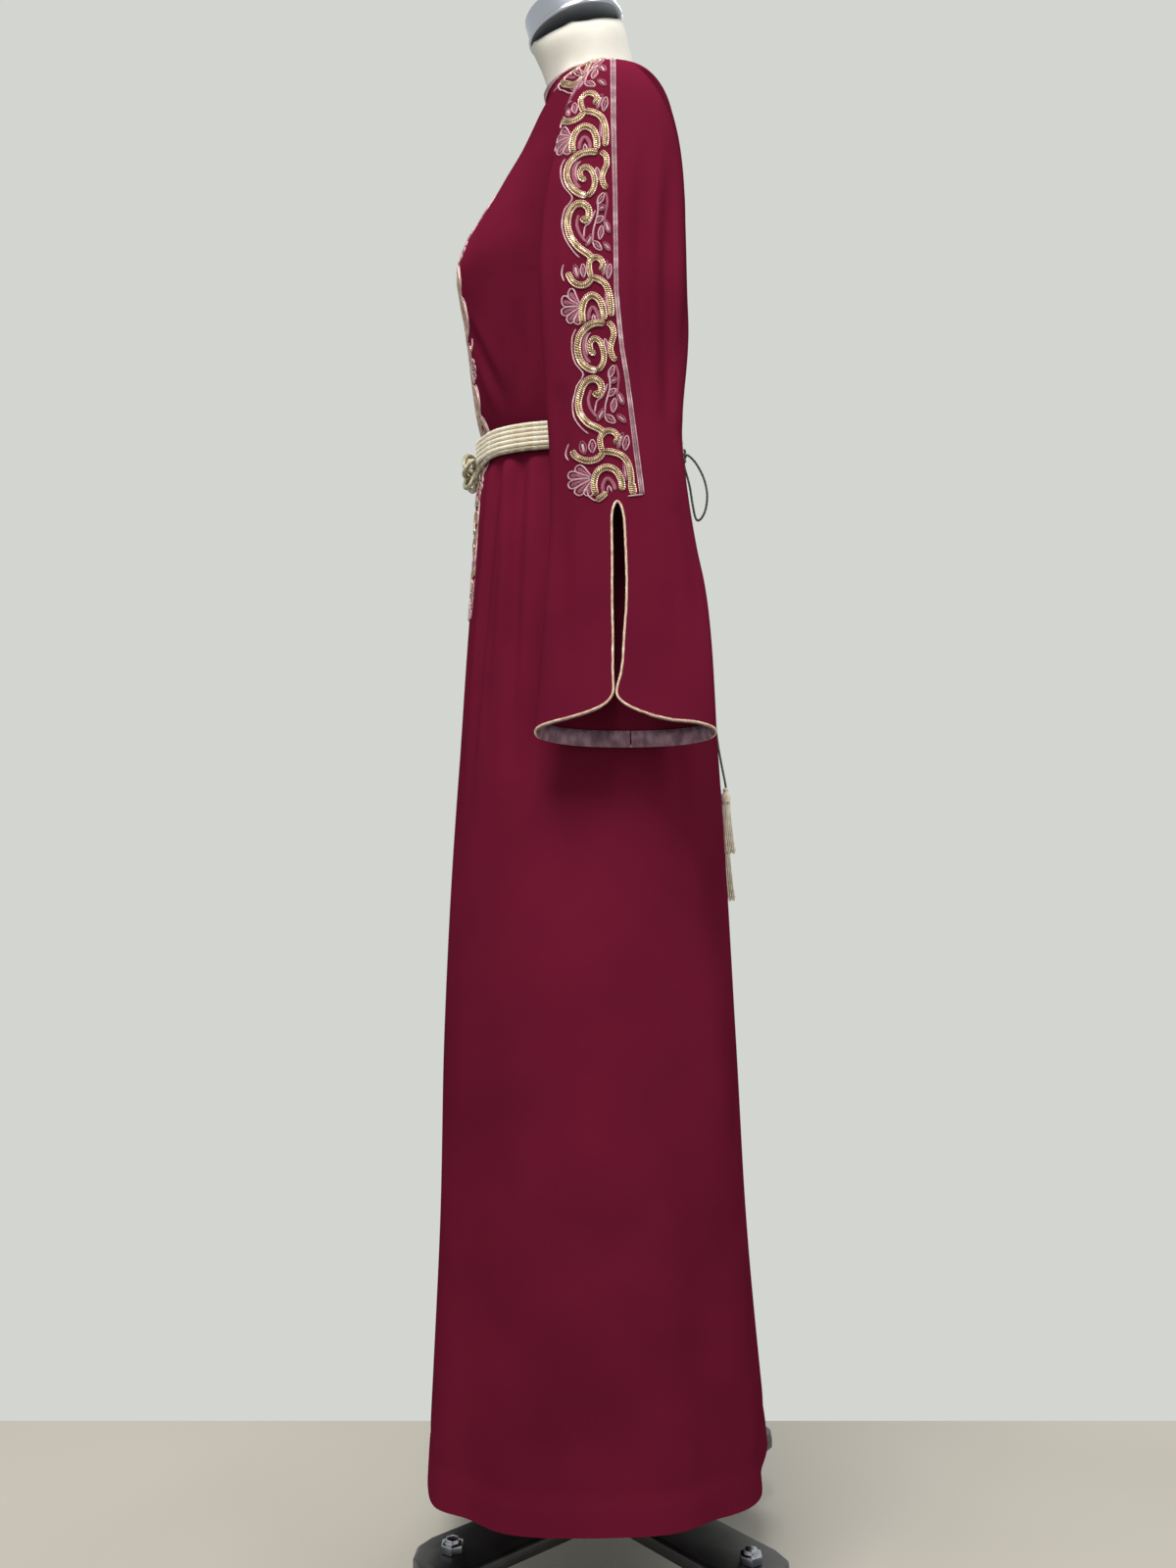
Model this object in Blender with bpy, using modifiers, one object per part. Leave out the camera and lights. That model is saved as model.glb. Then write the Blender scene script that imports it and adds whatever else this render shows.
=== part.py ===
"""A full-length belted abaya worn by a limbless dress form on a castor stand.

Metres, +Z up. The origin is on the floor under the pole. The front of the
garment faces -X and the wearer's left side is -Y.
"""
import math
from collections import namedtuple

import bmesh
import bpy
from mathutils import Matrix, Vector
from mathutils.bvhtree import BVHTree

OBJECT_NAME = "abaya_on_dress_form"

# Cloth and seams
CLOTH = 0.0016
SEAM_GAP = 0.0004
LAY_GAP = 0.0005
FORM_EASE = 0.0011

# Body of the garment, outer face of the cloth, from hem to neck edge.
# side_z, front_z and back_z are a section's heights at the side and at the
# centre front and back; half_y is its half width; square is the exponent of
# its outline, 2 for an ellipse and more for a boxier section.
Section = namedtuple("Section", "name side_z front_z back_z front_x back_x side_x half_y square")
BODY = [
    Section("hem", 0.150, 0.142, 0.160, -0.174, 0.152, -0.010, 0.236, 3.2),
    Section("calf", 0.360, 0.355, 0.365, -0.165, 0.134, -0.010, 0.226, 3.0),
    Section("knee", 0.550, 0.547, 0.553, -0.161, 0.123, -0.010, 0.209, 2.8),
    Section("thigh", 0.740, 0.740, 0.740, -0.152, 0.112, -0.012, 0.187, 2.6),
    Section("hip", 0.890, 0.890, 0.890, -0.142, 0.101, -0.012, 0.170, 2.4),
    Section("belly", 1.000, 1.000, 1.000, -0.135, 0.089, -0.014, 0.153, 2.2),
    Section("under_belt", 1.088, 1.088, 1.088, -0.1295, 0.071, -0.015, 0.1325, 2.1),
    Section("belt", 1.112, 1.112, 1.112, -0.1185, 0.0635, -0.015, 0.1265, 2.1),
    Section("over_belt", 1.144, 1.144, 1.144, -0.1305, 0.0655, -0.013, 0.1345, 2.1),
    Section("rib", 1.205, 1.212, 1.212, -0.140, 0.073, -0.006, 0.145, 2.2),
    Section("armpit", 1.245, 1.264, 1.264, -0.149, 0.075, 0.001, 0.151, 2.2),
    Section("bust", 1.290, 1.302, 1.315, -0.150, 0.076, 0.001, 0.157, 2.2),
    Section("chest", 1.340, 1.354, 1.360, -0.118, 0.076, 0.001, 0.165, 2.2),
    Section("shoulder_front", 1.385, 1.383, 1.402, -0.095, 0.072, 0.001, 0.173, 2.1),
    Section("shoulder_point", 1.424, 1.410, 1.437, -0.079, 0.063, 0.001, 0.181, 2.0),
    Section("shoulder_outer", 1.445, 1.434, 1.462, -0.064, 0.053, -0.004, 0.140, 2.0),
    Section("shoulder_inner", 1.466, 1.459, 1.483, -0.060, 0.044, -0.010, 0.096, 1.8),
    Section("neck_edge", 1.487, 1.483, 1.500, -0.0640, 0.037, -0.015, 0.0515, 1.75),
]
ARMPIT = 10
SHOULDER_POINT = 14
NECK_EDGE = 17
ARMHOLE_HALF_X = 0.050
ARMHOLE_EASED_ABOVE = 1.30

# Rows of the body's grid below the armpit, as steps between two sections
STEPS_PER_SECTION = (3, 3, 2, 2, 1, 1, 1, 1, 1, 1)
FRONT_COLUMNS = 7
ARMHOLE_ROWS = 9

# Soft folds of the skirt: where each lies round the body in degrees from the
# centre front, how far it drifts back on the way down, its half width in
# degrees, its depth at the hem, and the height where it fades out.
Fold = namedtuple("Fold", "turn drift spread depth top_z")
SKIRT_FOLDS = [
    Fold(30, 6, 11, 0.006, 1.05),
    Fold(56, -3, 10, -0.006, 0.85),
    Fold(82, 4, 12, 0.005, 0.95),
    Fold(112, 3, 10, -0.007, 0.80),
    Fold(136, 2, 9, 0.006, 0.95),
    Fold(158, -4, 10, -0.006, 0.75),
]

# Sleeve, outer face of the cloth, from just past the armhole to the cuff:
# the outer line over the arm, the inner line beside the body, and the front
# and back reach of each section.
SleeveSection = namedtuple("SleeveSection", "name out_y out_z in_y in_z front_x back_x square")
SLEEVE = [
    SleeveSection("head", 0.196, 1.417, 0.157, 1.237, -0.050, 0.057, 2.0),
    SleeveSection("cap", 0.207, 1.393, 0.161, 1.222, -0.053, 0.0625, 2.0),
    SleeveSection("upper_arm", 0.213, 1.353, 0.164, 1.200, -0.059, 0.064, 2.1),
    SleeveSection("biceps", 0.217, 1.300, 0.167, 1.170, -0.0625, 0.0645, 2.2),
    SleeveSection("mid_arm", 0.218, 1.240, 0.169, 1.130, -0.062, 0.064, 2.3),
    SleeveSection("above_elbow", 0.218, 1.170, 0.171, 1.085, -0.058, 0.059, 2.3),
    SleeveSection("elbow", 0.217, 1.100, 0.173, 1.040, -0.054, 0.060, 2.3),
    SleeveSection("slit_top", 0.218, 1.026, 0.176, 0.990, -0.054, 0.070, 2.3),
    SleeveSection("forearm", 0.222, 0.960, 0.179, 0.935, -0.058, 0.081, 2.3),
    SleeveSection("wrist", 0.226, 0.900, 0.182, 0.880, -0.063, 0.087, 2.3),
    SleeveSection("cuff", 0.230, 0.840, 0.185, 0.818, -0.068, 0.090, 2.3),
]
SLEEVE_STEPS = (1, 1, 1, 1, 1, 1, 1, 2, 2, 2)
SLIT_TOP = 7
SLIT_ARCH = 0.15
CUFF = 10
# Half width of the cloth's slit at heights below its top
SLIT_HALF_WIDTH = ((0.0, 0.0), (0.010, 0.0055), (0.05, 0.0070), (0.09, 0.0068),
                   (0.125, 0.0052), (0.150, 0.0040), (0.20, 0.0040))
CUFF_RISE = 0.020
CUFF_RISE_FRONT = 0.020
CUFF_RISE_BACK = 0.012

# Sleeve embroidery: its front and back edge at heights down the arm
StripEdge = namedtuple("StripEdge", "z front_x back_x")
SLEEVE_STRIP = [
    StripEdge(1.474, -0.046, 0.003),
    StripEdge(1.452, -0.051, 0.003),
    StripEdge(1.430, -0.058, 0.003),
    StripEdge(1.380, -0.058, 0.003),
    StripEdge(1.352, -0.053, 0.003),
    StripEdge(1.338, -0.046, 0.003),
    StripEdge(1.320, -0.040, 0.0035),
    StripEdge(1.288, -0.0415, 0.004),
    StripEdge(1.267, -0.038, 0.0042),
    StripEdge(1.246, -0.0437, 0.0045),
    StripEdge(1.204, -0.042, 0.005),
    StripEdge(1.175, -0.040, 0.009),
    StripEdge(1.158, -0.029, 0.011),
    StripEdge(1.128, -0.0277, 0.015),
    StripEdge(1.078, -0.0378, 0.022),
    StripEdge(1.053, -0.0437, 0.025),
    StripEdge(1.031, -0.030, 0.0275),
]
STRIP_ROWS = 36
STRIP_COLUMNS = 6
APPLIQUE_BASE = 0.0009
APPLIQUE_RELIEF = 0.0016

# Front embroidery: its outer edge's distance from the centre front
BandEdge = namedtuple("BandEdge", "z width")
FRONT_BAND = [
    BandEdge(1.456, 0.020),
    BandEdge(1.410, 0.036),
    BandEdge(1.380, 0.050),
    BandEdge(1.345, 0.034),
    BandEdge(1.300, 0.044),
    BandEdge(1.262, 0.062),
    BandEdge(1.225, 0.046),
    BandEdge(1.175, 0.056),
    BandEdge(1.138, 0.050),
    BandEdge(1.088, 0.046),
    BandEdge(1.055, 0.058),
    BandEdge(1.010, 0.044),
    BandEdge(0.975, 0.040),
    BandEdge(0.945, 0.022),
]
BAND_ROWS = 36
BAND_COLUMNS = 4
CENTRE_GAP = 0.0012

NECK_TRIM_WIDTH = 0.007
NECK_TRIM_THICK = 0.0012
NECK_TRIM_STEPS = 12
NECK_TRIM_START = 1.0

PIPING_RADIUS = 0.0013
PIPING_CLEAR = 0.0009
PIPING_TOP_DROP = 0.0042
PIPING_ARCH = 0.0014
TAPE_WIDTH = 0.011
TAPE_THICK = 0.0007

# Belt
BELT_TOP = 1.1265
BELT_SIDE_DIP = 0.008
BELT_CORDS = 6
BELT_CORD_PITCH = 0.0044
BELT_SIDES = 28
BELT_LOOK = 0.155
KNOT_CORD_RADIUS = 0.0021
KNOT_WIDTH = 0.046
KNOT_HEIGHT = 0.041
KNOT_Z = 1.1005
KNOT_RISE = 0.0034
KNOT_BEND = 0.25
KNOT_POINTS = 44

# Tie at the back
TIE_RADIUS = 0.0012
TIE_KNOT_DEPTH = 0.0032
TIE_KNOT_Z = 1.118
TIE_KNOT_X = 0.0757
TIE_LOOP_ROUTE = [(0.0757, -0.0061, 1.1165), (0.0790, -0.0095, 1.1170), (0.0870, -0.0125, 1.1080),
                  (0.0945, -0.0165, 1.0920), (0.0975, -0.0205, 1.0750), (0.0955, -0.0230, 1.0590),
                  (0.0905, -0.0220, 1.0500), (0.0865, -0.0170, 1.0520), (0.0838, -0.0110, 1.0670),
                  (0.0810, -0.0065, 1.0870), (0.0768, -0.0034, 1.1040), (0.0757, -0.0030, 1.1100)]
TIE_END_LEFT_ROUTE = [(0.0759, 0.0005, 1.1096), (0.0768, 0.0015, 1.0980), (0.0794, 0.0060, 1.0750),
                      (0.0840, 0.0130, 1.0400), (0.0935, 0.0200, 0.9800), (0.1035, 0.0250, 0.9000),
                      (0.1125, 0.0280, 0.8300), (0.1210, 0.0300, 0.7850)]
TIE_END_RIGHT_ROUTE = [(0.0758, 0.0037, 1.1105), (0.0768, 0.0062, 1.0980), (0.0794, 0.0125, 1.0750),
                       (0.0840, 0.0220, 1.0400), (0.0925, 0.0340, 0.9800), (0.1020, 0.0440, 0.9000),
                       (0.1120, 0.0500, 0.8200), (0.1232, 0.0540, 0.7350)]
TASSEL_HEAD_RADIUS = 0.0050
TASSEL_LENGTH = 0.052
TASSEL_FLARE = 0.75
TASSEL_RING = 9

# Dress form
NECK_HALF_X = 0.0470
NECK_HALF_Y = 0.0455
NECK_LEAN = math.radians(17.5)
NECK_BASE_X = -0.0138
NECK_BASE_Z = 1.485
NECK_RING_HEIGHTS = (1.492, 1.512)
NECK_TOP_Z = 1.5455
CAP_HEIGHT = 0.026
CAP_RADIUS = 0.0480
FORM_SIDES = 24
FORM_BOTTOM = 0.800
FORM_ROWS = (3.4, 4, 5, 6, 7, 8, 9, 10, 11, 12, 13, 14, 15, 16, 16.5)
FORM_BODY_EASE = 0.006

# Stand
POLE_RADIUS = 0.016
BASE_ANGLE = math.radians(41)
LEG_REACH = 0.193
LEG_HALF_WIDTH = 0.036
LEG_TOP = 0.080
LEG_THICK = 0.014
NUT_RADIUS = 0.011
NUT_HEIGHT = 0.008
WHEEL_RADIUS = 0.0225
WHEEL_WIDTH = 0.016
WHEEL_TRAIL = 0.016
FORK_TOP = LEG_TOP - LEG_THICK - SEAM_GAP
FORK_PLATE = 0.0025
CROWN_TOP = 0.060
CROWN_BOTTOM = 0.0475
AXLE_RADIUS = 0.003
RUNNING_GAP = 0.0005
HUB_RADIUS = 0.030
HUB_TOP = 0.115
CASTOR_HEADINGS = (math.radians(100), math.radians(60), math.radians(-75), math.radians(120))


def reset_scene():
    """Empty the file and make one collection for the object's pieces."""
    for obj in list(bpy.data.objects):
        bpy.data.objects.remove(obj)
    parts = bpy.data.collections.new(OBJECT_NAME)
    bpy.context.scene.collection.children.link(parts)
    return parts


PARTS = reset_scene()


def material(name, colour, roughness, metallic=0.0):
    finish = bpy.data.materials.new(name)
    finish.use_nodes = True
    shader = finish.node_tree.nodes["Principled BSDF"]
    shader.inputs["Base Color"].default_value = (*colour, 1.0)
    shader.inputs["Roughness"].default_value = roughness
    shader.inputs["Metallic"].default_value = metallic
    return finish


CREPE = material("wine_crepe", (0.155, 0.010, 0.037), 0.75)
GOLD_THREAD = material("gold_thread", (0.55, 0.42, 0.20), 0.40, 0.6)
SILVER_THREAD = material("silver_thread", (0.55, 0.48, 0.45), 0.40, 0.6)
HEM_TAPE = material("hem_tape", (0.33, 0.26, 0.28), 0.85)
DARK_CORD = material("dark_cord", (0.10, 0.095, 0.08), 0.60)
IVORY = material("ivory_jersey", (0.78, 0.74, 0.63), 0.80)
CHROME = material("chrome", (0.75, 0.75, 0.76), 0.12, 1.0)
BLACK_IRON = material("black_iron", (0.012, 0.012, 0.012), 0.45, 0.3)
RUBBER = material("castor_rubber", (0.02, 0.02, 0.02), 0.70)


def place(mesh_or_curve, name, finish, smooth=True):
    """Add a finished mesh or curve to the object's collection."""
    obj = bpy.data.objects.new(name, mesh_or_curve)
    mesh_or_curve.materials.append(finish)
    PARTS.objects.link(obj)
    if smooth and isinstance(mesh_or_curve, bpy.types.Mesh):
        mesh_or_curve.shade_smooth()
        mesh_or_curve.set_sharp_from_angle(angle=math.radians(40))
    return obj


def place_bmesh(shape, name, finish):
    mesh = bpy.data.meshes.new(name)
    shape.to_mesh(mesh)
    shape.free()
    return place(mesh, name, finish)


def smooth_value(points, at):
    """A smooth curve through evenly numbered values, read at a position."""
    last = len(points) - 1
    at = min(max(at, 0.0), float(last))
    left = min(int(at), last - 1)
    t = at - left
    before = points[max(left - 1, 0)]
    start = points[left]
    end = points[left + 1]
    after = points[min(left + 2, last)]
    slope_in = (end - before) / 2
    slope_out = (after - start) / 2
    return ((2 * t**3 - 3 * t**2 + 1) * start + (t**3 - 2 * t**2 + t) * slope_in
            + (3 * t**2 - 2 * t**3) * end + (t**3 - t**2) * slope_out)


def section_at(table, at):
    """One row of a table of sections, blended smoothly between its rows."""
    kind = type(table[0])
    sizes = [smooth_value([row[k] for row in table], at) for k in range(1, len(kind._fields))]
    return kind("between", *sizes)


def read_table(rows, key, field, at):
    """Straight-line value of a field in a table, at a place along its key."""
    ordered = sorted(rows, key=lambda row: row[key])
    if at <= ordered[0][key]:
        return ordered[0][field]
    for low, high in zip(ordered, ordered[1:]):
        if at <= high[key]:
            share = (at - low[key]) / (high[key] - low[key])
            return low[field] + share * (high[field] - low[field])
    return ordered[-1][field]


def fold_depth(turn, z):
    """How far the skirt's folds push the cloth out at a place on it."""
    depth = 0.0
    for fold in SKIRT_FOLDS:
        if z < fold.top_z:
            down = (fold.top_z - z) / (fold.top_z - BODY[0].side_z)
            middle = fold.turn + fold.drift * down
            depth += fold.depth * min(down, 1.0) * math.exp(-((turn - middle) / fold.spread) ** 2)
    return depth


def body_point(at, turn):
    """A point of the body's left half, turn in degrees from the centre front."""
    row = section_at(BODY, at)
    cos = math.cos(math.radians(turn))
    sin = math.sin(math.radians(turn))
    end_x, end_z = (row.front_x, row.front_z) if cos > 0 else (row.back_x, row.back_z)
    power = 2 / row.square
    x = row.side_x + (end_x - row.side_x) * abs(cos) ** power
    y = -row.half_y * abs(sin) ** power
    z = row.side_z + (end_z - row.side_z) * cos**2
    push = fold_depth(turn, z)
    return Vector((x - push * cos, y - push * sin, z))


def armhole_turns(at, rise):
    """Where the armhole cuts a body section, rise 0 at the armpit to 1 on top."""
    row = section_at(BODY, at)
    half = ARMHOLE_HALF_X * 2 * math.sqrt(max(rise * (1 - rise), 0.0))
    front = (half / (row.side_x - row.front_x)) ** (row.square / 2)
    back = (half / (row.back_x - row.side_x)) ** (row.square / 2)
    return math.degrees(math.acos(min(front, 1))), 180 - math.degrees(math.acos(min(back, 1)))


def body_rows():
    """The grid's rows as (place in the table, rise in the armhole or None)."""
    rows = []
    for section, steps in enumerate(STEPS_PER_SECTION):
        rows += [(section + step / steps, None) for step in range(steps)]
    for row in range(ARMHOLE_ROWS + 1):
        rise = (1 - math.cos(math.pi * row / ARMHOLE_ROWS)) / 2
        rows.append((ARMPIT + rise * (SHOULDER_POINT - ARMPIT), rise))
    rows += [(float(section), None) for section in range(SHOULDER_POINT + 1, NECK_EDGE + 1)]
    return rows


def slit_half_width(z):
    top = SLEEVE[SLIT_TOP].out_z
    return read_table([(d, w) for d, w in SLIT_HALF_WIDTH], 0, 1, top - z)


def cuff_rise(x, slit_x, share):
    """How far the cuff's edge is rounded up beside the slit."""
    run = CUFF_RISE_FRONT if x < slit_x else CUFF_RISE_BACK
    return CUFF_RISE * share * math.exp(-abs(x - slit_x) / run)


# How far forward of the arm's middle the slit runs, at heights below its top
SLIT_DRIFT = ((-0.074, 0.0), (0.0, -0.004), (0.19, -0.009))


def slit_drift(z):
    top = SLEEVE[SLIT_TOP].out_z
    return read_table(SLIT_DRIFT, 0, 1, top - z)


def sleeve_point(at, phi, split=0):
    """A point of the left sleeve; phi in degrees from the outer line, forwards.

    split is -1 or 1 for the front or back edge of the slit, and 0 elsewhere.
    """
    row = section_at(SLEEVE, at)
    cos = math.cos(math.radians(phi))
    sin = math.sin(math.radians(phi))
    power = 2 / row.square
    out = math.copysign(abs(cos) ** power, cos)
    along = math.copysign(abs(sin) ** power, sin)
    middle_x = (row.front_x + row.back_x) / 2
    x = middle_x - (row.back_x - row.front_x) / 2 * along
    y = -(row.out_y + row.in_y) / 2 - (row.out_y - row.in_y) / 2 * out
    z = (row.out_z + row.in_z) / 2 + (row.out_z - row.in_z) / 2 * out
    if phi % 360 == 0 and at > SLIT_TOP - 1:
        x += slit_drift(z) + split * slit_half_width(z)
    if at > SLIT_TOP + 1 and out > 0:
        share = (at - SLIT_TOP - 1) / (CUFF - SLIT_TOP - 1)
        z += cuff_rise(x, middle_x + slit_drift(z), share**2) * out
    return Vector((x, y, z))


def sleeve_rows():
    rows = [SLIT_TOP + SLIT_ARCH]
    for section, steps in enumerate(SLEEVE_STEPS):
        rows += [section + step / steps for step in range(steps)]
    return sorted(rows) + [float(CUFF)]


def add_strip_of_faces(shell, label_layer, label, first, second):
    """Join two rows of corners with quads and label them with their panel."""
    for a, b, c, d in zip(first, first[1:], second[1:], second):
        corners = list(dict.fromkeys((a, b, c, d)))
        if len(corners) > 2:
            face = shell.faces.new(corners)
            face[label_layer] = label


FRONT_LEFT, FRONT_RIGHT, BACK, SLEEVE_LEFT, SLEEVE_RIGHT = range(1, 6)
MIRRORED = {FRONT_LEFT: FRONT_RIGHT, SLEEVE_LEFT: SLEEVE_RIGHT, BACK: BACK}


def left_half():
    """The left half of the garment's outer face, sewn into one surface."""
    shell = bmesh.new()
    label = shell.faces.layers.int.new("panel")
    fronts, backs, loop_front, loop_back = [], [], [], []
    for at, rise in body_rows():
        turn_front, turn_back = (90, 90) if rise is None else armhole_turns(at, rise)
        front = [shell.verts.new(body_point(at, turn_front * k / FRONT_COLUMNS))
                 for k in range(FRONT_COLUMNS + 1)]
        joined = turn_back - turn_front < 0.01
        back = [front[-1]] if joined else [shell.verts.new(body_point(at, turn_back))]
        step = (180 - turn_back) / FRONT_COLUMNS
        back += [shell.verts.new(body_point(at, turn_back + step * k))
                 for k in range(1, FRONT_COLUMNS + 1)]
        fronts.append(front)
        backs.append(back)
        if rise is not None:
            loop_front.append(front[-1])
            loop_back.append(back[0])
    for low, high in zip(fronts, fronts[1:]):
        add_strip_of_faces(shell, label, FRONT_LEFT, high, low)
    for low, high in zip(backs, backs[1:]):
        add_strip_of_faces(shell, label, BACK, high, low)
    ring = list(reversed(loop_front)) + loop_back[1:]
    sides = len(ring) - 1
    for at in sleeve_rows():
        split = at > SLIT_TOP
        new = [shell.verts.new(sleeve_point(at, 360 * k / sides)) for k in range(1, sides)]
        if split:
            first = shell.verts.new(sleeve_point(at, 0, -1))
            last = shell.verts.new(sleeve_point(at, 0, 1))
        else:
            first = last = shell.verts.new(sleeve_point(at, 0))
        new = [first] + new + [last]
        add_strip_of_faces(shell, label, SLEEVE_LEFT, ring, new)
        ring = new
    return shell


def whole_shell():
    """Both halves of the garment's outer face, sewn and eased at the armholes."""
    shell = left_half()
    label = shell.faces.layers.int["panel"]
    armhole = [v for v in shell.verts
               if {FRONT_LEFT, SLEEVE_LEFT} <= {f[label] for f in v.link_faces}
               or {BACK, SLEEVE_LEFT} <= {f[label] for f in v.link_faces}]
    upper = [v for v in armhole if v.co.z > ARMHOLE_EASED_ABOVE]
    near = {n for v in upper for e in v.link_edges for n in e.verts}
    for _ in range(2):
        bmesh.ops.smooth_vert(shell, verts=list(near), factor=0.25,
                              use_axis_x=True, use_axis_y=True, use_axis_z=True)
    copy = bmesh.ops.duplicate(shell, geom=shell.verts[:] + shell.edges[:] + shell.faces[:])["geom"]
    other = [g for g in copy if isinstance(g, bmesh.types.BMVert)]
    other_faces = [g for g in copy if isinstance(g, bmesh.types.BMFace)]
    bmesh.ops.scale(shell, vec=(1, -1, 1), verts=other)
    bmesh.ops.reverse_faces(shell, faces=other_faces)
    for face in other_faces:
        face[label] = MIRRORED[face[label]]
    middle = [v for v in shell.verts if abs(v.co.y) < 1e-6]
    bmesh.ops.remove_doubles(shell, verts=middle, dist=1e-6)
    bmesh.ops.recalc_face_normals(shell, faces=shell.faces[:])
    bmesh.ops.triangulate(shell, faces=shell.faces[:])
    shell.normal_update()
    return shell


def cloth_panel(shell, panel, name, finish, thickness=CLOTH):
    """Cut one panel from the sewn surface and give it its thickness inwards."""
    label = shell.faces.layers.int["panel"]
    faces = [f for f in shell.faces if f[label] == panel]
    cut = bmesh.new()
    moved, normals = {}, {}
    for face in faces:
        for vert in face.verts:
            if vert in moved:
                continue
            own = [f for f in vert.link_faces if f[label] == panel]
            edge = any(sum(f[label] == panel for f in e.link_faces) == 1 for e in vert.link_edges)
            place_at = vert.co.copy()
            if edge:
                inwards = sum((f.calc_center_median() for f in own), Vector()) / len(own) - vert.co
                place_at += inwards.normalized() * SEAM_GAP / 2
            moved[vert] = cut.verts.new(place_at)
            normals[moved[vert]] = vert.normal.copy()
    for face in faces:
        cut.faces.new([moved[v] for v in face.verts])
    grow = bmesh.ops.extrude_face_region(cut, geom=cut.faces[:], use_keep_orig=True)["geom"]
    inner = [g for g in grow if isinstance(g, bmesh.types.BMVert)]
    outer_at = {tuple(round(c, 7) for c in v.co): v for v in moved.values()}
    for vert in inner:
        twin = outer_at[tuple(round(c, 7) for c in vert.co)]
        vert.co -= normals[twin] * thickness
    bmesh.ops.recalc_face_normals(cut, faces=cut.faces[:])
    return place_bmesh(cut, name, finish)


# The garment's outer face to lay pieces on, and the same face a seam gap out
Cloth = namedtuple("Cloth", "face raised")


def lay_on(cloth, origin, direction):
    """Where a straight look from outside first meets the cloth."""
    point = cloth.face.ray_cast(origin, direction)[0]
    if point is None:
        raise ValueError(f"nothing under {origin}")
    return point


def offset_tree(shell, distance):
    """A searchable copy of the garment's outer face, moved along its normals."""
    copy = shell.copy()
    for vert in copy.verts:
        vert.co += vert.normal * distance
    tree = BVHTree.FromBMesh(copy)
    copy.free()
    return tree


def clear_of_cloth(piece, cloth, gap):
    """Move an open surface's corners out until its faces clear the cloth."""
    tree = cloth.face
    for _ in range(12):
        push = {}
        for face in piece.faces:
            corners = [v.co for v in face.verts]
            looks = [face.calc_center_median()] + corners
            looks += [(a + b) / 2 for a, b in zip(corners, corners[1:] + corners[:1])]
            for look in looks:
                near, normal, _, _ = tree.find_nearest(look)
                short = gap - (look - near).dot(normal)
                if short > 1e-5:
                    for vert in face.verts:
                        if short > push.get(vert, Vector()).length:
                            push[vert] = normal * short
        if not push:
            break
        for vert, move in push.items():
            vert.co += move * 0.8
        piece.normal_update()
    for _ in range(60):
        piece.faces.ensure_lookup_table()
        meets = {face for face, _ in BVHTree.FromBMesh(piece).overlap(cloth.raised)}
        if not meets:
            return
        for vert in {v for index in meets for v in piece.faces[index].verts}:
            vert.co += vert.normal * 0.0002
        piece.normal_update()


def raised_piece(cloth, rows, name, finish, base, relief, up_hint):
    """A thin piece on the cloth: rows of points on it, raised by a relief."""
    piece = bmesh.new()
    grid = [[piece.verts.new(p) for p in row] for row in rows]
    for low, high in zip(grid, grid[1:]):
        for a, b, c, d in zip(low, low[1:], high[1:], high):
            piece.faces.new((a, b, c, d))
    bmesh.ops.triangulate(piece, faces=piece.faces[:])
    piece.normal_update()
    first = grid[len(grid) // 2][len(grid[0]) // 2]
    if first.normal.dot(up_hint) < 0:
        bmesh.ops.reverse_faces(piece, faces=piece.faces[:])
        piece.normal_update()
    for vert in piece.verts:
        vert.co += vert.normal * LAY_GAP
    clear_of_cloth(piece, cloth, LAY_GAP)
    lift = {v: v.normal.copy() for v in piece.verts}
    heights = {}
    for i, row in enumerate(grid):
        for j, vert in enumerate(row):
            heights[tuple(round(c, 7) for c in vert.co)] = (lift[vert], base + relief(i, j))
    grow = bmesh.ops.extrude_face_region(piece, geom=piece.faces[:], use_keep_orig=True)["geom"]
    for vert in [g for g in grow if isinstance(g, bmesh.types.BMVert)]:
        normal, height = heights[tuple(round(c, 7) for c in vert.co)]
        vert.co += normal * height
    bmesh.ops.recalc_face_normals(piece, faces=piece.faces[:])
    return place_bmesh(piece, name, finish)


def scroll_relief(rows, columns):
    """Raised scrolls of the applique: rims, and a ring in each repeat."""
    def relief(i, j):
        edge = i in (0, rows) or j in (0, columns)
        turn = 2 * math.pi * i / rows * 5
        across = j / columns
        ring = 0.5 + 0.5 * math.cos(turn + 2 * math.pi * across)
        return APPLIQUE_RELIEF * (0.45 if edge else ring)
    return relief


def sleeve_strip(cloth, side, name):
    """Embroidery from the neck over the shoulder to the top of the slit."""
    top, bottom = SLEEVE_STRIP[0].z, SLEEVE_STRIP[-1].z
    profile, length = [], 0.0
    steps = 300
    last = None
    for k in range(steps + 1):
        z = top + (bottom - top) * k / steps
        point = lay_on(cloth, Vector((-0.02, side * 0.5, z)), Vector((0, -side, 0)))
        length += (point - last).length if last is not None else 0.0
        last = point
        profile.append((length, z))
    rows = []
    for i in range(STRIP_ROWS + 1):
        z = read_table(profile, 0, 1, length * i / STRIP_ROWS)
        front = read_table(SLEEVE_STRIP, 0, 1, z)
        back = read_table(SLEEVE_STRIP, 0, 2, z)
        row = []
        for j in range(STRIP_COLUMNS + 1):
            x = front + (back - front) * j / STRIP_COLUMNS
            origin = Vector((x, side * 0.5, z))
            row.append(lay_on(cloth, origin, Vector((0, -side, 0))))
        rows.append(row)
    return raised_piece(cloth, rows, name, GOLD_THREAD, APPLIQUE_BASE,
                        scroll_relief(STRIP_ROWS, STRIP_COLUMNS), Vector((0, side, 0)))


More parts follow.
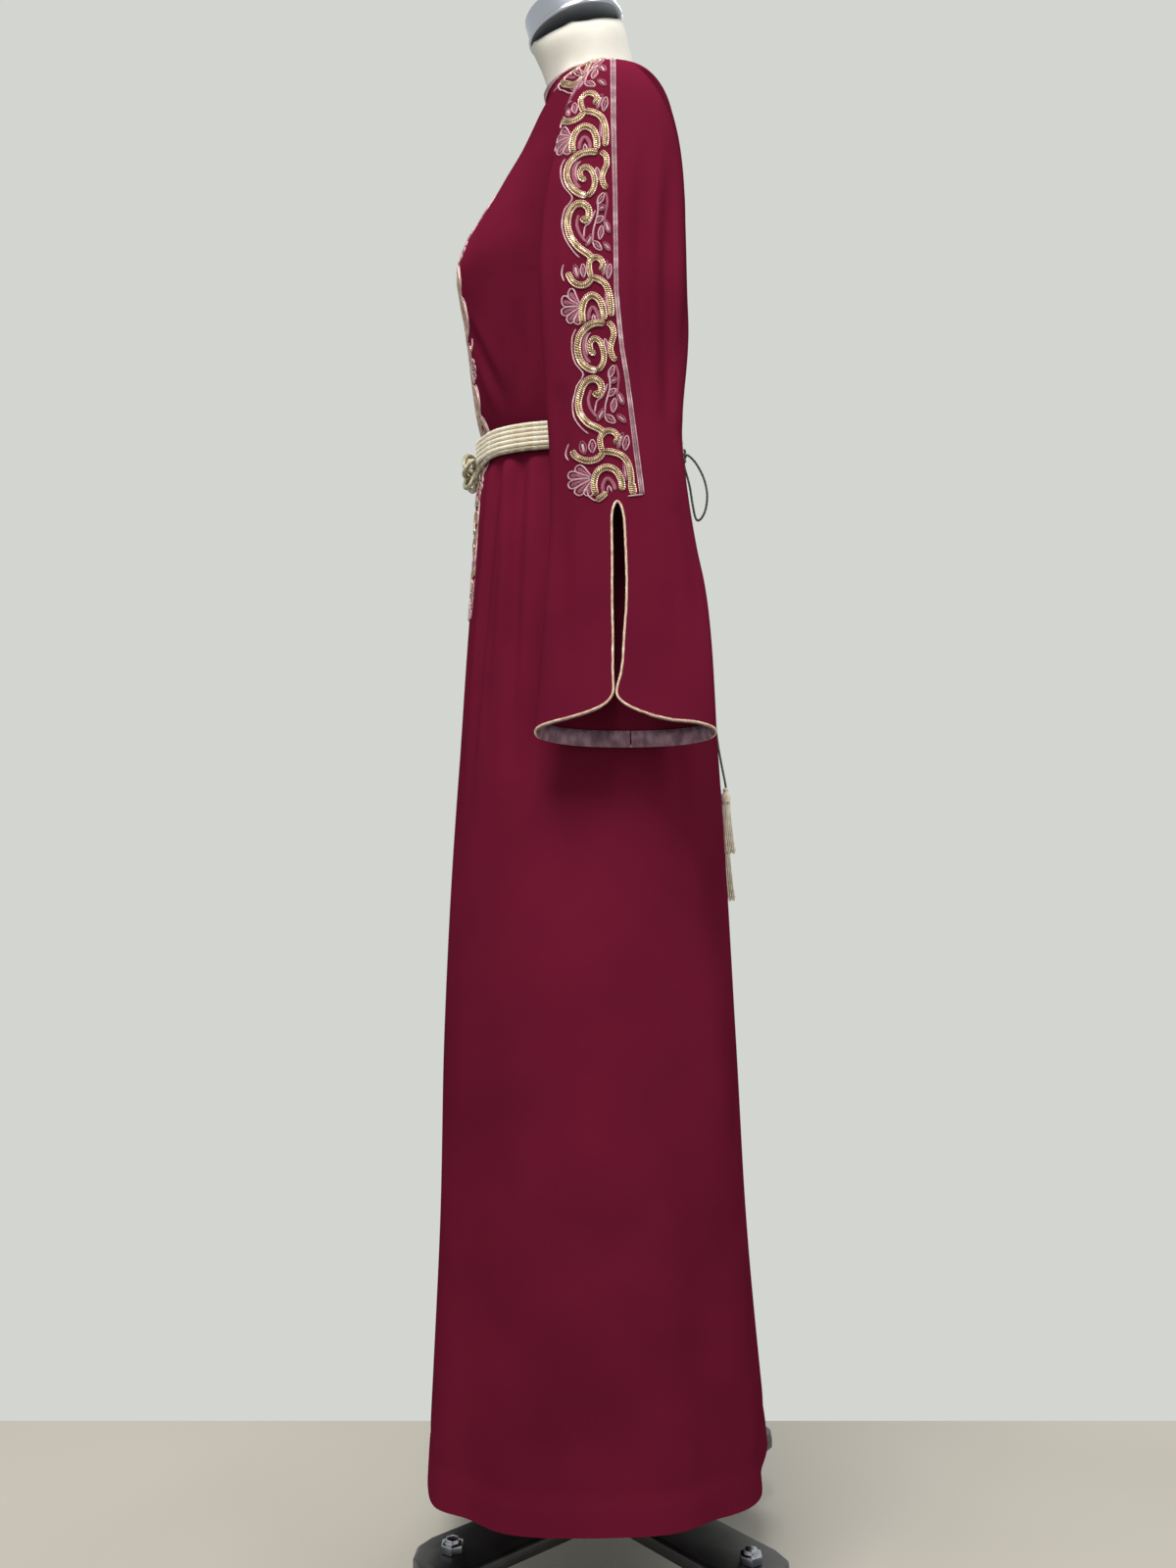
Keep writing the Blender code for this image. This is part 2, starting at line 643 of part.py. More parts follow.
def front_band(cloth, side, name):
    """Embroidery down one side of the centre front."""
    rows = []
    top, bottom = FRONT_BAND[0].z, FRONT_BAND[-1].z
    for i in range(BAND_ROWS + 1):
        z = top + (bottom - top) * i / BAND_ROWS
        width = read_table(FRONT_BAND, 0, 1, z)
        row = []
        for j in range(BAND_COLUMNS + 1):
            y = side * (CENTRE_GAP + width * j / BAND_COLUMNS)
            row.append(lay_on(cloth, Vector((-0.5, y, z)), Vector((1, 0, 0))))
        rows.append(row)
    return raised_piece(cloth, rows, name, GOLD_THREAD, APPLIQUE_BASE,
                        scroll_relief(BAND_ROWS, BAND_COLUMNS), Vector((-1, 0, 0)))


def neck_trim(cloth):
    """Narrow braid round the neck edge, its ends meeting at the centre front."""
    turns = list(range(0, 181, 180 // NECK_TRIM_STEPS))
    columns = [(turn, 1) for turn in turns] + [(turn, -1) for turn in reversed(turns[:-1])]
    rows = []
    for share in (0.08, 0.92):
        row = []
        for turn, mirror in columns:
            turn = max(turn, NECK_TRIM_START)
            edge = body_point(NECK_EDGE, turn)
            below = body_point(NECK_EDGE - 1, turn)
            point = edge + (below - edge).normalized() * NECK_TRIM_WIDTH * share
            row.append(Vector((point.x, point.y * mirror, point.z)))
        rows.append(row)
    return raised_piece(cloth, rows, "neck_trim", SILVER_THREAD, NECK_TRIM_THICK,
                        lambda i, j: 0.0, Vector((0, 0, 1)))


def sleeve_outward(at, phi):
    """The horizontal direction out of the left sleeve's wall."""
    row = section_at(SLEEVE, at)
    sin, cos = math.sin(math.radians(phi)), math.cos(math.radians(phi))
    long_half = (row.back_x - row.front_x) / 2
    short_half = (row.out_y - row.in_y) / 2
    return Vector((-sin / long_half, -cos / short_half, 0)).normalized()


def hem_tape(side, name):
    """Tape inside the cuff, along its edge from one side of the slit to the other."""
    sides = 2 * ARMHOLE_ROWS
    piece = bmesh.new()
    rows = []
    for up in (0.0015, 0.0015 + TAPE_WIDTH):
        for depth in (CLOTH + LAY_GAP, CLOTH + LAY_GAP + TAPE_THICK):
            row = []
            for k in range(2, sides - 1):
                phi = 360 * k / sides
                edge = sleeve_point(CUFF, phi)
                above = sleeve_point(CUFF - 0.5, phi)
                point = edge + (above - edge).normalized() * up - sleeve_outward(CUFF, phi) * depth
                row.append(piece.verts.new((point.x, -side * point.y, point.z)))
            rows.append(row)
    low_out, low_in, high_out, high_in = rows
    for first, second in ((low_out, high_out), (high_out, high_in), (high_in, low_in),
                          (low_in, low_out)):
        for a, b, c, d in zip(first, first[1:], second[1:], second):
            piece.faces.new((a, b, c, d))
    for end in (0, -1):
        piece.faces.new((low_out[end], high_out[end], high_in[end], low_in[end]))
    bmesh.ops.recalc_face_normals(piece, faces=piece.faces[:])
    return place_bmesh(piece, name, HEM_TAPE)


def poly_curve(points, radius, resolution, cyclic=False):
    """A round cord through the given points."""
    curve = bpy.data.curves.new("cord", "CURVE")
    curve.dimensions = "3D"
    curve.bevel_depth = radius
    curve.bevel_resolution = resolution
    curve.use_fill_caps = not cyclic
    spline = curve.splines.new("POLY")
    spline.points.add(len(points) - 1)
    for knot, point in zip(spline.points, points):
        knot.co = (*point, 1.0)
    spline.use_cyclic_u = cyclic
    return curve


def cuff_piping(side, name):
    """Gold cord round the slit's two edges and the whole cuff."""
    reach = PIPING_RADIUS + PIPING_CLEAR
    centre = CLOTH / 2
    front, back = [], []
    for at in [a for a in sleeve_rows() if a > SLIT_TOP]:
        for split, run in ((-1, front), (1, back)):
            edge = sleeve_point(at, 0, split)
            run.append(edge + Vector((-split * reach, centre, 0)))
    top = sleeve_point(SLIT_TOP, 0) + Vector((0, centre, -PIPING_TOP_DROP))
    for run in (front, back):
        run[-1].z -= reach * 0.7
        run[-1].x += (run[-1].x < top.x) * -reach * 0.5 + (run[-1].x > top.x) * reach * 0.5
    arch = [top.lerp(run[0], 0.6) + Vector((0, 0, PIPING_ARCH)) for run in (front, back)]
    sides = 2 * ARMHOLE_ROWS
    around = []
    for k in range(1, sides):
        phi = 360 * k / sides
        edge = sleeve_point(CUFF, phi) - sleeve_outward(CUFF, phi) * centre
        around.append(edge - Vector((0, 0, reach)))
    path = list(reversed(back)) + [arch[1], top, arch[0]] + front + around
    points = [(p.x, -side * p.y, p.z) for p in path]
    return place(poly_curve(points, PIPING_RADIUS, 1, cyclic=True), name, GOLD_THREAD)


def outermost(trees, origin, direction):
    """The first thing met by a look from outside, on any of several surfaces."""
    hits = [tree.ray_cast(origin, direction) for tree in trees]
    points = [hit[0] for hit in hits if hit[0] is not None]
    return min(points, key=lambda point: (point - origin).length)


def belt_dip(angle):
    """How much lower the belt lies at an angle round the waist; least at front and back."""
    return BELT_SIDE_DIP * math.sin(angle) ** 2


def belt(trees):
    """Six cords side by side round the waist, over everything that lies there."""
    shape = bmesh.new()
    bottom = BELT_TOP - BELT_CORDS * BELT_CORD_PITCH
    centre_x = BODY[7].side_x
    loops = []
    for k in range(BELT_SIDES):
        angle = 2 * math.pi * k / BELT_SIDES
        outward = Vector((-math.cos(angle), -math.sin(angle), 0))
        reach = 0.0
        for side_step in (-0.5, -0.25, 0, 0.25, 0.5):
            near = 2 * math.pi * (k + side_step) / BELT_SIDES
            look = Vector((-math.cos(near), -math.sin(near), 0))
            for level in range(BELT_CORDS + 1):
                z = bottom + level * BELT_CORD_PITCH - belt_dip(near)
                start = Vector((centre_x, 0, z)) + look * BELT_LOOK
                hit = outermost(trees, start, -look)
                flat = Vector((hit.x - centre_x, hit.y, 0)).length
                reach = max(reach, flat / math.cos(abs(near - angle)) if side_step else flat)
        inner = reach + LAY_GAP
        section = [(inner, bottom), (inner, BELT_TOP)]
        for level in range(2 * BELT_CORDS + 1):
            z = BELT_TOP - level * BELT_CORD_PITCH / 2
            depth = BELT_CORD_PITCH * (0.95 if level % 2 else 0.55)
            section.append((inner + depth, z))
        dip = belt_dip(angle)
        loops.append([shape.verts.new((centre_x + outward.x * r, outward.y * r, z - dip))
                      for r, z in section])
    for first, second in zip(loops, loops[1:] + loops[:1]):
        for a, b, c, d in zip(first, first[1:] + first[:1], second[1:] + second[:1], second):
            shape.faces.new((a, b, c, d))
    bmesh.ops.recalc_face_normals(shape, faces=shape.faces[:])
    return place_bmesh(shape, "belt", GOLD_THREAD)


def belt_knot(front_x):
    """Interlaced cord ornament on the belt: a five-lobed knot of one cord."""
    depth = KNOT_CORD_RADIUS + KNOT_RISE
    points = []
    for k in range(KNOT_POINTS):
        t = 2 * math.pi * k / KNOT_POINTS
        radius = 0.62 + 0.38 * math.cos(5 * t)
        y = radius * math.sin(2 * t) * (KNOT_WIDTH / 2 - KNOT_CORD_RADIUS)
        z = radius * math.cos(2 * t) * (KNOT_HEIGHT / 2 - KNOT_CORD_RADIUS)
        x = front_x - SEAM_GAP - depth + KNOT_RISE * math.sin(5 * t) + y * y / (2 * KNOT_BEND)
        points.append((x, y, KNOT_Z + z))
    return place(poly_curve(points, KNOT_CORD_RADIUS, 1, cyclic=True), "belt_knot", SILVER_THREAD)


def smooth_route(route, count):
    """Evenly spaced points on a smooth curve through hand-chosen route points."""
    fine = [Vector([smooth_value([p[k] for p in route], i / 20) for k in range(3)])
            for i in range(20 * (len(route) - 1) + 1)]
    lengths = [0.0]
    for a, b in zip(fine, fine[1:]):
        lengths.append(lengths[-1] + (b - a).length)
    points = []
    for i in range(count):
        want = lengths[-1] * i / (count - 1)
        k = next(n for n, length in enumerate(lengths) if length >= want - 1e-9)
        k = max(k, 1)
        share = (want - lengths[k - 1]) / (lengths[k] - lengths[k - 1])
        points.append(fine[k - 1].lerp(fine[k], share))
    return points


def tassel(name, top, finish):
    """A turned head with strands grown from its underside, flaring a little."""
    shape = bmesh.new()
    bmesh.ops.create_circle(shape, cap_ends=True, segments=TASSEL_RING, radius=TASSEL_HEAD_RADIUS)
    disc = list(shape.faces)[0]
    disc.normal_update()
    if disc.normal.z > 0:
        bmesh.ops.reverse_faces(shape, faces=[disc])
    rim = list(shape.edges)
    heights = ((0.0045, 1.00), (0.0085, 0.82), (0.0105, 0.55), (0.0130, 0.60), (0.0150, 0.30))
    below = 0.0
    scale_now = 1.0
    loop = rim
    for height, scale in heights:
        grown = bmesh.ops.extrude_edge_only(shape, edges=loop)["geom"]
        verts = [g for g in grown if isinstance(g, bmesh.types.BMVert)]
        loop = [g for g in grown if isinstance(g, bmesh.types.BMEdge)]
        factor = scale / scale_now
        bmesh.ops.scale(shape, vec=(factor, factor, 1), verts=verts)
        bmesh.ops.translate(shape, vec=(0, 0, height - below), verts=verts)
        below, scale_now = height, scale
    bmesh.ops.contextual_create(shape, geom=loop)
    under = [f for f in shape.faces if all(abs(v.co.z) < 1e-6 for v in f.verts)]
    strands = []
    for thickness in (0.0017, 0.0016):
        ring_faces = bmesh.ops.inset_region(shape, faces=under, thickness=thickness)["faces"]
        strands += ring_faces
        under = [f for f in under if f.is_valid]
    strands += under
    bmesh.ops.inset_individual(shape, faces=strands, thickness=0.00018)
    tips = bmesh.ops.extrude_discrete_faces(shape, faces=strands)["faces"]
    for k, tip in enumerate(tips):
        middle = tip.calc_center_median()
        flare = 1 + TASSEL_FLARE + 0.12 * math.sin(k * 2.4)
        drop = TASSEL_LENGTH * (1 - 0.05 * math.sin(k * 1.7))
        for vert in tip.verts:
            vert.co.x = middle.x * flare + (vert.co.x - middle.x) * 1.1
            vert.co.y = middle.y * flare + (vert.co.y - middle.y) * 1.1
            vert.co.z = -drop
    bmesh.ops.translate(shape, vec=top - Vector((0, 0, heights[-1][0])), verts=shape.verts[:])
    bmesh.ops.recalc_face_normals(shape, faces=shape.faces[:])
    return place_bmesh(shape, name, finish)


def tie_at_back():
    """Small wrapped knot, a bow loop and two ends with tassels."""
    knot = bmesh.new()
    bmesh.ops.create_uvsphere(knot, u_segments=10, v_segments=8, radius=1.0)
    bmesh.ops.scale(knot, vec=(TIE_KNOT_DEPTH, 0.0055, 0.0080), verts=knot.verts[:])
    middle = Vector((TIE_KNOT_X, 0, TIE_KNOT_Z))
    bmesh.ops.translate(knot, vec=middle, verts=knot.verts[:])
    place_bmesh(knot, "tie_knot", DARK_CORD)
    loop = smooth_route(TIE_LOOP_ROUTE, 22)
    place(poly_curve(loop, TIE_RADIUS, 2), "tie_loop", DARK_CORD)
    for name, route, count in (("left", TIE_END_LEFT_ROUTE, 26), ("right", TIE_END_RIGHT_ROUTE, 30)):
        points = smooth_route(route, count)
        place(poly_curve(points, TIE_RADIUS, 2), "tie_end_" + name, DARK_CORD)
        tassel("tassel_" + name, points[-1] - Vector((0, 0, SEAM_GAP)), GOLD_THREAD)


def form_point(at, turn):
    """A point of the dress form's surface, all round, under the cloth."""
    side = 1 if turn <= 180 else -1
    around = turn if turn <= 180 else 360 - turn
    point = body_point(at, around)
    push = fold_depth(around, point.z)
    angle = math.radians(around)
    point += Vector((push * math.cos(angle), push * math.sin(angle), 0))
    return Vector((point.x, side * point.y, point.z))


def neck_centre(z):
    return Vector((NECK_BASE_X - math.tan(NECK_LEAN) * (z - NECK_BASE_Z), 0, z))


def dress_form(shell):
    """Torso and neck in one smooth body, closed at the hip and under the cap."""
    shape = bmesh.new()
    turns = [360 * k / FORM_SIDES for k in range(FORM_SIDES)]
    rings = []
    for at in FORM_ROWS:
        rings.append([shape.verts.new(form_point(at, turn)) for turn in turns])
    for z in NECK_RING_HEIGHTS:
        middle = neck_centre(z)
        rings.append([shape.verts.new(neck_rim(middle, turn, 0)) for turn in turns])
    rings.append([shape.verts.new(neck_rim(neck_centre(NECK_TOP_Z), turn, math.tan(NECK_LEAN)))
                  for turn in turns])
    for low, high in zip(rings, rings[1:]):
        for a, b, c, d in zip(low, low[1:] + low[:1], high[1:] + high[:1], high):
            shape.faces.new((a, b, c, d))
    shape.faces.new(rings[0])
    shape.faces.new(rings[-1])
    bmesh.ops.recalc_face_normals(shape, faces=shape.faces[:])
    shape.normal_update()
    moves = []
    for ring, at in zip(rings, FORM_ROWS):
        ease = CLOTH + (FORM_EASE if at >= SHOULDER_POINT else FORM_BODY_EASE)
        moves += [(vert, vert.normal * ease) for vert in ring]
    for vert, move in moves:
        vert.co -= move
    for vert in rings[0]:
        vert.co.z = FORM_BOTTOM
    sink_under_cloth(shape, shell)
    return place_bmesh(shape, "form_torso", IVORY)


def sink_under_cloth(shape, shell):
    """Draw the form's corners in until none of its faces reaches the cloth's inside."""
    tree = offset_tree(shell, -CLOTH - SEAM_GAP)
    bmesh.ops.triangulate(shape, faces=shape.faces[:])
    for _ in range(60):
        shape.normal_update()
        shape.faces.ensure_lookup_table()
        meets = {face for face, _ in BVHTree.FromBMesh(shape).overlap(tree)}
        if not meets:
            return
        for vert in {v for index in meets for v in shape.faces[index].verts}:
            vert.co -= vert.normal * 0.0003


def neck_rim(middle, turn, slope):
    angle = math.radians(turn)
    x = -NECK_HALF_X * math.cos(angle)
    return middle + Vector((x, -NECK_HALF_Y * math.sin(angle), slope * x))


def turned(name, profile, finish, segments=32, closed=False):
    """A turned solid: a profile of (radius, height) from its top down, screwed round Z."""
    mesh = bpy.data.meshes.new(name)
    shape = bmesh.new()
    verts = [shape.verts.new((radius, 0, height)) for radius, height in profile]
    for a, b in zip(verts, verts[1:]):
        shape.edges.new((a, b))
    if closed:
        shape.edges.new((verts[-1], verts[0]))
    shape.to_mesh(mesh)
    shape.free()
    obj = place(mesh, name, finish)
    screw = obj.modifiers.new("turn", "SCREW")
    screw.steps = segments
    screw.render_steps = segments
    screw.use_merge_vertices = True
    screw.merge_threshold = 0.00001
    return obj


def neck_cap():
    """Chrome cap on the neck, tilted with it."""
    profile = [(0, CAP_HEIGHT), (CAP_RADIUS - 0.004, CAP_HEIGHT), (CAP_RADIUS - 0.001, CAP_HEIGHT - 0.002),
               (CAP_RADIUS - 0.001, 0.005), (CAP_RADIUS + 0.0012, 0.004), (CAP_RADIUS + 0.0012, 0),
               (0, 0)]
    cap = turned("neck_cap", profile, CHROME, 24)
    cap.rotation_euler = (0, -NECK_LEAN, 0)
    up = Vector((-math.sin(NECK_LEAN), 0, math.cos(NECK_LEAN)))
    cap.location = neck_centre(NECK_TOP_Z) + up * SEAM_GAP
    return cap


def pole():
    height = FORM_BOTTOM - SEAM_GAP - HUB_TOP - SEAM_GAP
    profile = [(0, height), (POLE_RADIUS, height), (POLE_RADIUS, 0), (0, 0)]
    obj = turned("pole", profile, CHROME, 16)
    obj.location = (0, 0, HUB_TOP + SEAM_GAP)
    return obj


def leg_angles():
    return [BASE_ANGLE + k * math.pi / 2 for k in range(4)]


def stand_base():
    """Four flat legs with round ends and a hub, cast in one."""
    outline = []
    steps = 6
    inner = LEG_HALF_WIDTH
    for angle in leg_angles():
        along = Vector((math.cos(angle), math.sin(angle), 0))
        across = Vector((-math.sin(angle), math.cos(angle), 0))
        for k in range(steps + 1):
            turn = -math.pi / 2 + math.pi * k / steps
            outline.append(along * (LEG_REACH + LEG_HALF_WIDTH * math.cos(turn))
                           + across * LEG_HALF_WIDTH * math.sin(turn))
        outline.append(along * inner + across * inner)
    shape = bmesh.new()
    face = shape.faces.new([shape.verts.new(p + Vector((0, 0, LEG_TOP - LEG_THICK))) for p in outline])
    top = bmesh.ops.extrude_face_region(shape, geom=[face], use_keep_orig=True)["geom"]
    top_verts = [g for g in top if isinstance(g, bmesh.types.BMVert)]
    bmesh.ops.translate(shape, vec=(0, 0, LEG_THICK), verts=top_verts)
    bmesh.ops.recalc_face_normals(shape, faces=shape.faces[:])
    lid = max(shape.faces, key=lambda f: f.calc_center_median().z)
    bmesh.ops.bevel(shape, geom=lid.edges[:], offset=0.003, segments=1, affect="EDGES",
                    profile=0.5, material=-1)
    base = place_bmesh(shape, "stand_base", BLACK_IRON)
    hub_profile = [(0, HUB_TOP), (HUB_RADIUS - 0.003, HUB_TOP), (HUB_RADIUS, HUB_TOP - 0.003),
                   (HUB_RADIUS, LEG_TOP - 0.004), (0, LEG_TOP - 0.004)]
    hub = turned("hub_union", hub_profile, BLACK_IRON, 20)
    join(base, hub, "UNION")
    return base


def cutter_collection():
    if "cutters" not in bpy.data.collections:
        cutters = bpy.data.collections.new("cutters")
        bpy.context.scene.collection.children.link(cutters)
    return bpy.data.collections["cutters"]


def join(target, tool, operation):
    """Join or cut one solid with another, and put the tool away."""
    boolean = target.modifiers.new(operation.lower(), "BOOLEAN")
    boolean.operation = operation
    boolean.object = tool
    tool.hide_render = True
    tool.display_type = "WIRE"
    PARTS.objects.unlink(tool)
    cutter_collection().objects.link(tool)


def leg_nut(index, angle):
    shape = bmesh.new()
    bmesh.ops.create_cone(shape, cap_ends=True, segments=6, radius1=NUT_RADIUS, radius2=NUT_RADIUS,
                          depth=NUT_HEIGHT)
    top = max(shape.faces, key=lambda f: f.calc_center_median().z)
    bmesh.ops.inset_region(shape, faces=[top], thickness=0.0045)
    grown = bmesh.ops.extrude_face_region(shape, geom=[top])["geom"]
    stud = [g for g in grown if isinstance(g, bmesh.types.BMVert)]
    bmesh.ops.translate(shape, vec=(0, 0, 0.004), verts=stud)
    bmesh.ops.delete(shape, geom=[f for f in shape.faces if f == top], context="FACES")
    nut = place_bmesh(shape, f"leg_nut_{index}", CHROME)
    nut.location = (LEG_REACH * math.cos(angle), LEG_REACH * math.sin(angle),
                    LEG_TOP + SEAM_GAP + NUT_HEIGHT / 2)
    return nut


def castor(index, angle):
    """A swivel fork with its axle, and the wheel that turns on it."""
    pivot = Vector((LEG_REACH * math.cos(angle), LEG_REACH * math.sin(angle), 0))
    heading = angle + CASTOR_HEADINGS[index - 1]
    swivel = bpy.data.objects.new(f"castor_pivot_{index}", None)
    PARTS.objects.link(swivel)
    swivel.location = pivot
    swivel.rotation_euler = (0, 0, heading)
    width = WHEEL_WIDTH + 2 * RUNNING_GAP + 2 * FORK_PLATE
    outline = [(-0.012, CROWN_TOP), (-0.012, CROWN_BOTTOM - 0.001), (WHEEL_TRAIL - 0.006, WHEEL_RADIUS - 0.002),
               (WHEEL_TRAIL - 0.003, WHEEL_RADIUS - 0.006), (WHEEL_TRAIL + 0.003, WHEEL_RADIUS - 0.006),
               (WHEEL_TRAIL + 0.006, WHEEL_RADIUS - 0.002), (0.014, CROWN_BOTTOM - 0.001), (0.014, CROWN_TOP)]
    shape = bmesh.new()
    side = shape.faces.new([shape.verts.new((x, -width / 2, z)) for x, z in outline])
    grown = bmesh.ops.extrude_face_region(shape, geom=[side], use_keep_orig=True)["geom"]
    far = [g for g in grown if isinstance(g, bmesh.types.BMVert)]
    bmesh.ops.translate(shape, vec=(0, width, 0), verts=far)
    bmesh.ops.recalc_face_normals(shape, faces=shape.faces[:])
    fork = place_bmesh(shape, f"castor_fork_{index}", CHROME)
    fork.parent = swivel
    slot = bmesh.new()
    bmesh.ops.create_cube(slot, size=1.0)
    bmesh.ops.scale(slot, vec=(0.12, WHEEL_WIDTH + 2 * RUNNING_GAP, CROWN_BOTTOM + 0.01), verts=slot.verts[:])
    bmesh.ops.translate(slot, vec=(0, 0, (CROWN_BOTTOM - 0.01) / 2), verts=slot.verts[:])
    slot_tool = place_bmesh(slot, f"fork_slot_{index}", CHROME)
    slot_tool.parent = swivel
    join(fork, slot_tool, "DIFFERENCE")
    axle = bmesh.new()
    bmesh.ops.create_cone(axle, cap_ends=True, segments=8, radius1=AXLE_RADIUS, radius2=AXLE_RADIUS,
                          depth=width + 0.003)
    bmesh.ops.rotate(axle, matrix=Matrix.Rotation(math.pi / 2, 3, "X"), verts=axle.verts[:])
    bmesh.ops.translate(axle, vec=(WHEEL_TRAIL, 0, WHEEL_RADIUS), verts=axle.verts[:])
    axle_tool = place_bmesh(axle, f"fork_axle_{index}", CHROME)
    axle_tool.parent = swivel
    join(fork, axle_tool, "UNION")
    plate = bmesh.new()
    bmesh.ops.create_cone(plate, cap_ends=True, segments=12, radius1=0.013, radius2=0.016,
                          depth=FORK_TOP - CROWN_TOP + 0.001)
    bmesh.ops.translate(plate, vec=(0, 0, (FORK_TOP + CROWN_TOP - 0.001) / 2), verts=plate.verts[:])
    plate_tool = place_bmesh(plate, f"fork_plate_{index}", CHROME)
    plate_tool.parent = swivel
    join(fork, plate_tool, "UNION")
    profile = [(AXLE_RADIUS + RUNNING_GAP, WHEEL_WIDTH / 2), (WHEEL_RADIUS - 0.003, WHEEL_WIDTH / 2),
               (WHEEL_RADIUS, WHEEL_WIDTH / 2 - 0.003), (WHEEL_RADIUS, -WHEEL_WIDTH / 2 + 0.003),
               (WHEEL_RADIUS - 0.003, -WHEEL_WIDTH / 2), (AXLE_RADIUS + RUNNING_GAP, -WHEEL_WIDTH / 2)]
    wheel = turned(f"castor_wheel_{index}", profile, RUBBER, 18, closed=True)
    wheel.parent = swivel
    wheel.location = (WHEEL_TRAIL, 0, WHEEL_RADIUS)
    wheel.rotation_euler = (math.pi / 2, 0, 0)


def tree_of(obj):
    """A searchable copy of a finished piece's surface."""
    shape = bmesh.new()
    shape.from_mesh(obj.data)
    tree = BVHTree.FromBMesh(shape)
    shape.free()
    return tree


def build_garment():
    shell = whole_shell()
    cloth_panel(shell, FRONT_LEFT, "front_left", CREPE)
    cloth_panel(shell, FRONT_RIGHT, "front_right", CREPE)
    cloth_panel(shell, BACK, "back", CREPE)
    cloth_panel(shell, SLEEVE_LEFT, "sleeve_left", CREPE)
    cloth_panel(shell, SLEEVE_RIGHT, "sleeve_right", CREPE)
    cloth = Cloth(BVHTree.FromBMesh(shell), offset_tree(shell, SEAM_GAP))
    dress_form(shell)
    shell.free()
    neck_trim(cloth)
    bands = []
    for side, name in ((-1, "left"), (1, "right")):
        sleeve_strip(cloth, side, "sleeve_embroidery_" + name)
        bands.append(front_band(cloth, side, "front_embroidery_" + name))
        hem_tape(side, "hem_tape_" + name)
        cuff_piping(side, "cuff_piping_" + name)
    girdle = belt([cloth.face] + [tree_of(band) for band in bands])
    belt_knot(min(v.co.x for v in girdle.data.vertices))
    tie_at_back()


def build_stand():
    neck_cap()
    pole()
    stand_base()
    for index, angle in enumerate(leg_angles(), 1):
        leg_nut(index, angle)
        castor(index, angle)


build_garment()
build_stand()
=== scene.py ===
"""A full-length belted abaya on its limbless dress form, seen from the wearer's left.

Metres, +Z up. The garment's front faces -X and the wearer's left side is -Y.
"""

import math
from collections import namedtuple

import bmesh
import bpy
import numpy as np
from mathutils import Matrix, Vector, interpolate
from mathutils.bvhtree import BVHTree


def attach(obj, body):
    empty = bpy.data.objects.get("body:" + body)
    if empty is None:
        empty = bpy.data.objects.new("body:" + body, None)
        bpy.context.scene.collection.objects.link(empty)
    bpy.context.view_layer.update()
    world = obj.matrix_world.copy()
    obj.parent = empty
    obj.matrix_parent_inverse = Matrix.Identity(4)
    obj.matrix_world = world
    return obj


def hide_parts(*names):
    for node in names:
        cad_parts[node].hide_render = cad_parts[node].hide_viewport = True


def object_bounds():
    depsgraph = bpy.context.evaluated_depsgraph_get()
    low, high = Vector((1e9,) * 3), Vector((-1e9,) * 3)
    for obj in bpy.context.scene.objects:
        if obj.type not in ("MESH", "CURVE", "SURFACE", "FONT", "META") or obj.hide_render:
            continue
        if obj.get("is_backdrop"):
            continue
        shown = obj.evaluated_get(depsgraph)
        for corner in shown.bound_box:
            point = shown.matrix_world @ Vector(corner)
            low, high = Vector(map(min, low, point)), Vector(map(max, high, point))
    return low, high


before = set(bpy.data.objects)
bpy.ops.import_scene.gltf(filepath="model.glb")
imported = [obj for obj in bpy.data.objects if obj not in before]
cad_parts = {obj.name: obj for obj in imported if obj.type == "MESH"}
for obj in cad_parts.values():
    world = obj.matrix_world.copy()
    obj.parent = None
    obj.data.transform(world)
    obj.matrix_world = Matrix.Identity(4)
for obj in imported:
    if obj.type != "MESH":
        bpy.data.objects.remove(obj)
CAD_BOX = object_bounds()
GARMENT = "garment_and_form"
MM = 0.001


def placed(name, data):
    """A new object in the scene for a mesh, a light or a camera."""
    obj = bpy.data.objects.new(name, data)
    bpy.context.scene.collection.objects.link(obj)
    return obj


# Camera
# The photographer stands 1.42 m from the form, level with its hip
CAMERA_AT = (-0.021, -1.42, 0.76)
# The photograph's height, the lens's reach and how far its middle lies above the horizon, in pixels
IMAGE_HIGH = 1600
FOCAL_PIXELS = 1436
HORIZON_BELOW_MIDDLE = 28
SENSOR = 36.0


def set_camera():
    lens = bpy.data.cameras.new("camera")
    lens.sensor_fit = "AUTO"
    lens.sensor_width = SENSOR
    lens.lens = FOCAL_PIXELS / IMAGE_HIGH * SENSOR
    lens.shift_y = HORIZON_BELOW_MIDDLE / IMAGE_HIGH
    lens.clip_start = 0.05
    camera = placed("camera", lens)
    camera.location = CAMERA_AT
    camera.rotation_euler = (math.radians(90), 0, 0)
    bpy.context.scene.camera = camera


set_camera()


# Materials
def linear(hex_colour):
    """An sRGB hex colour as linear red, green, blue and alpha."""
    parts = [int(hex_colour[k:k + 2], 16) / 255 for k in (1, 3, 5)]
    return (*[c / 12.92 if c <= 0.04045 else ((c + 0.055) / 1.055) ** 2.4 for c in parts], 1.0)


def finish(name, colour, roughness, metallic=0.0, **sockets):
    """A new material with one shader; sockets are set on the shader itself."""
    made = bpy.data.materials.new(name)
    made.use_nodes = True
    made.diffuse_color = linear(colour)
    shader = made.node_tree.nodes["Principled BSDF"]
    shader.inputs["Base Color"].default_value = linear(colour)
    shader.inputs["Roughness"].default_value = roughness
    shader.inputs["Metallic"].default_value = metallic
    for socket, value in sockets.items():
        shader.inputs[socket.replace("_", " ")].default_value = value
    return made


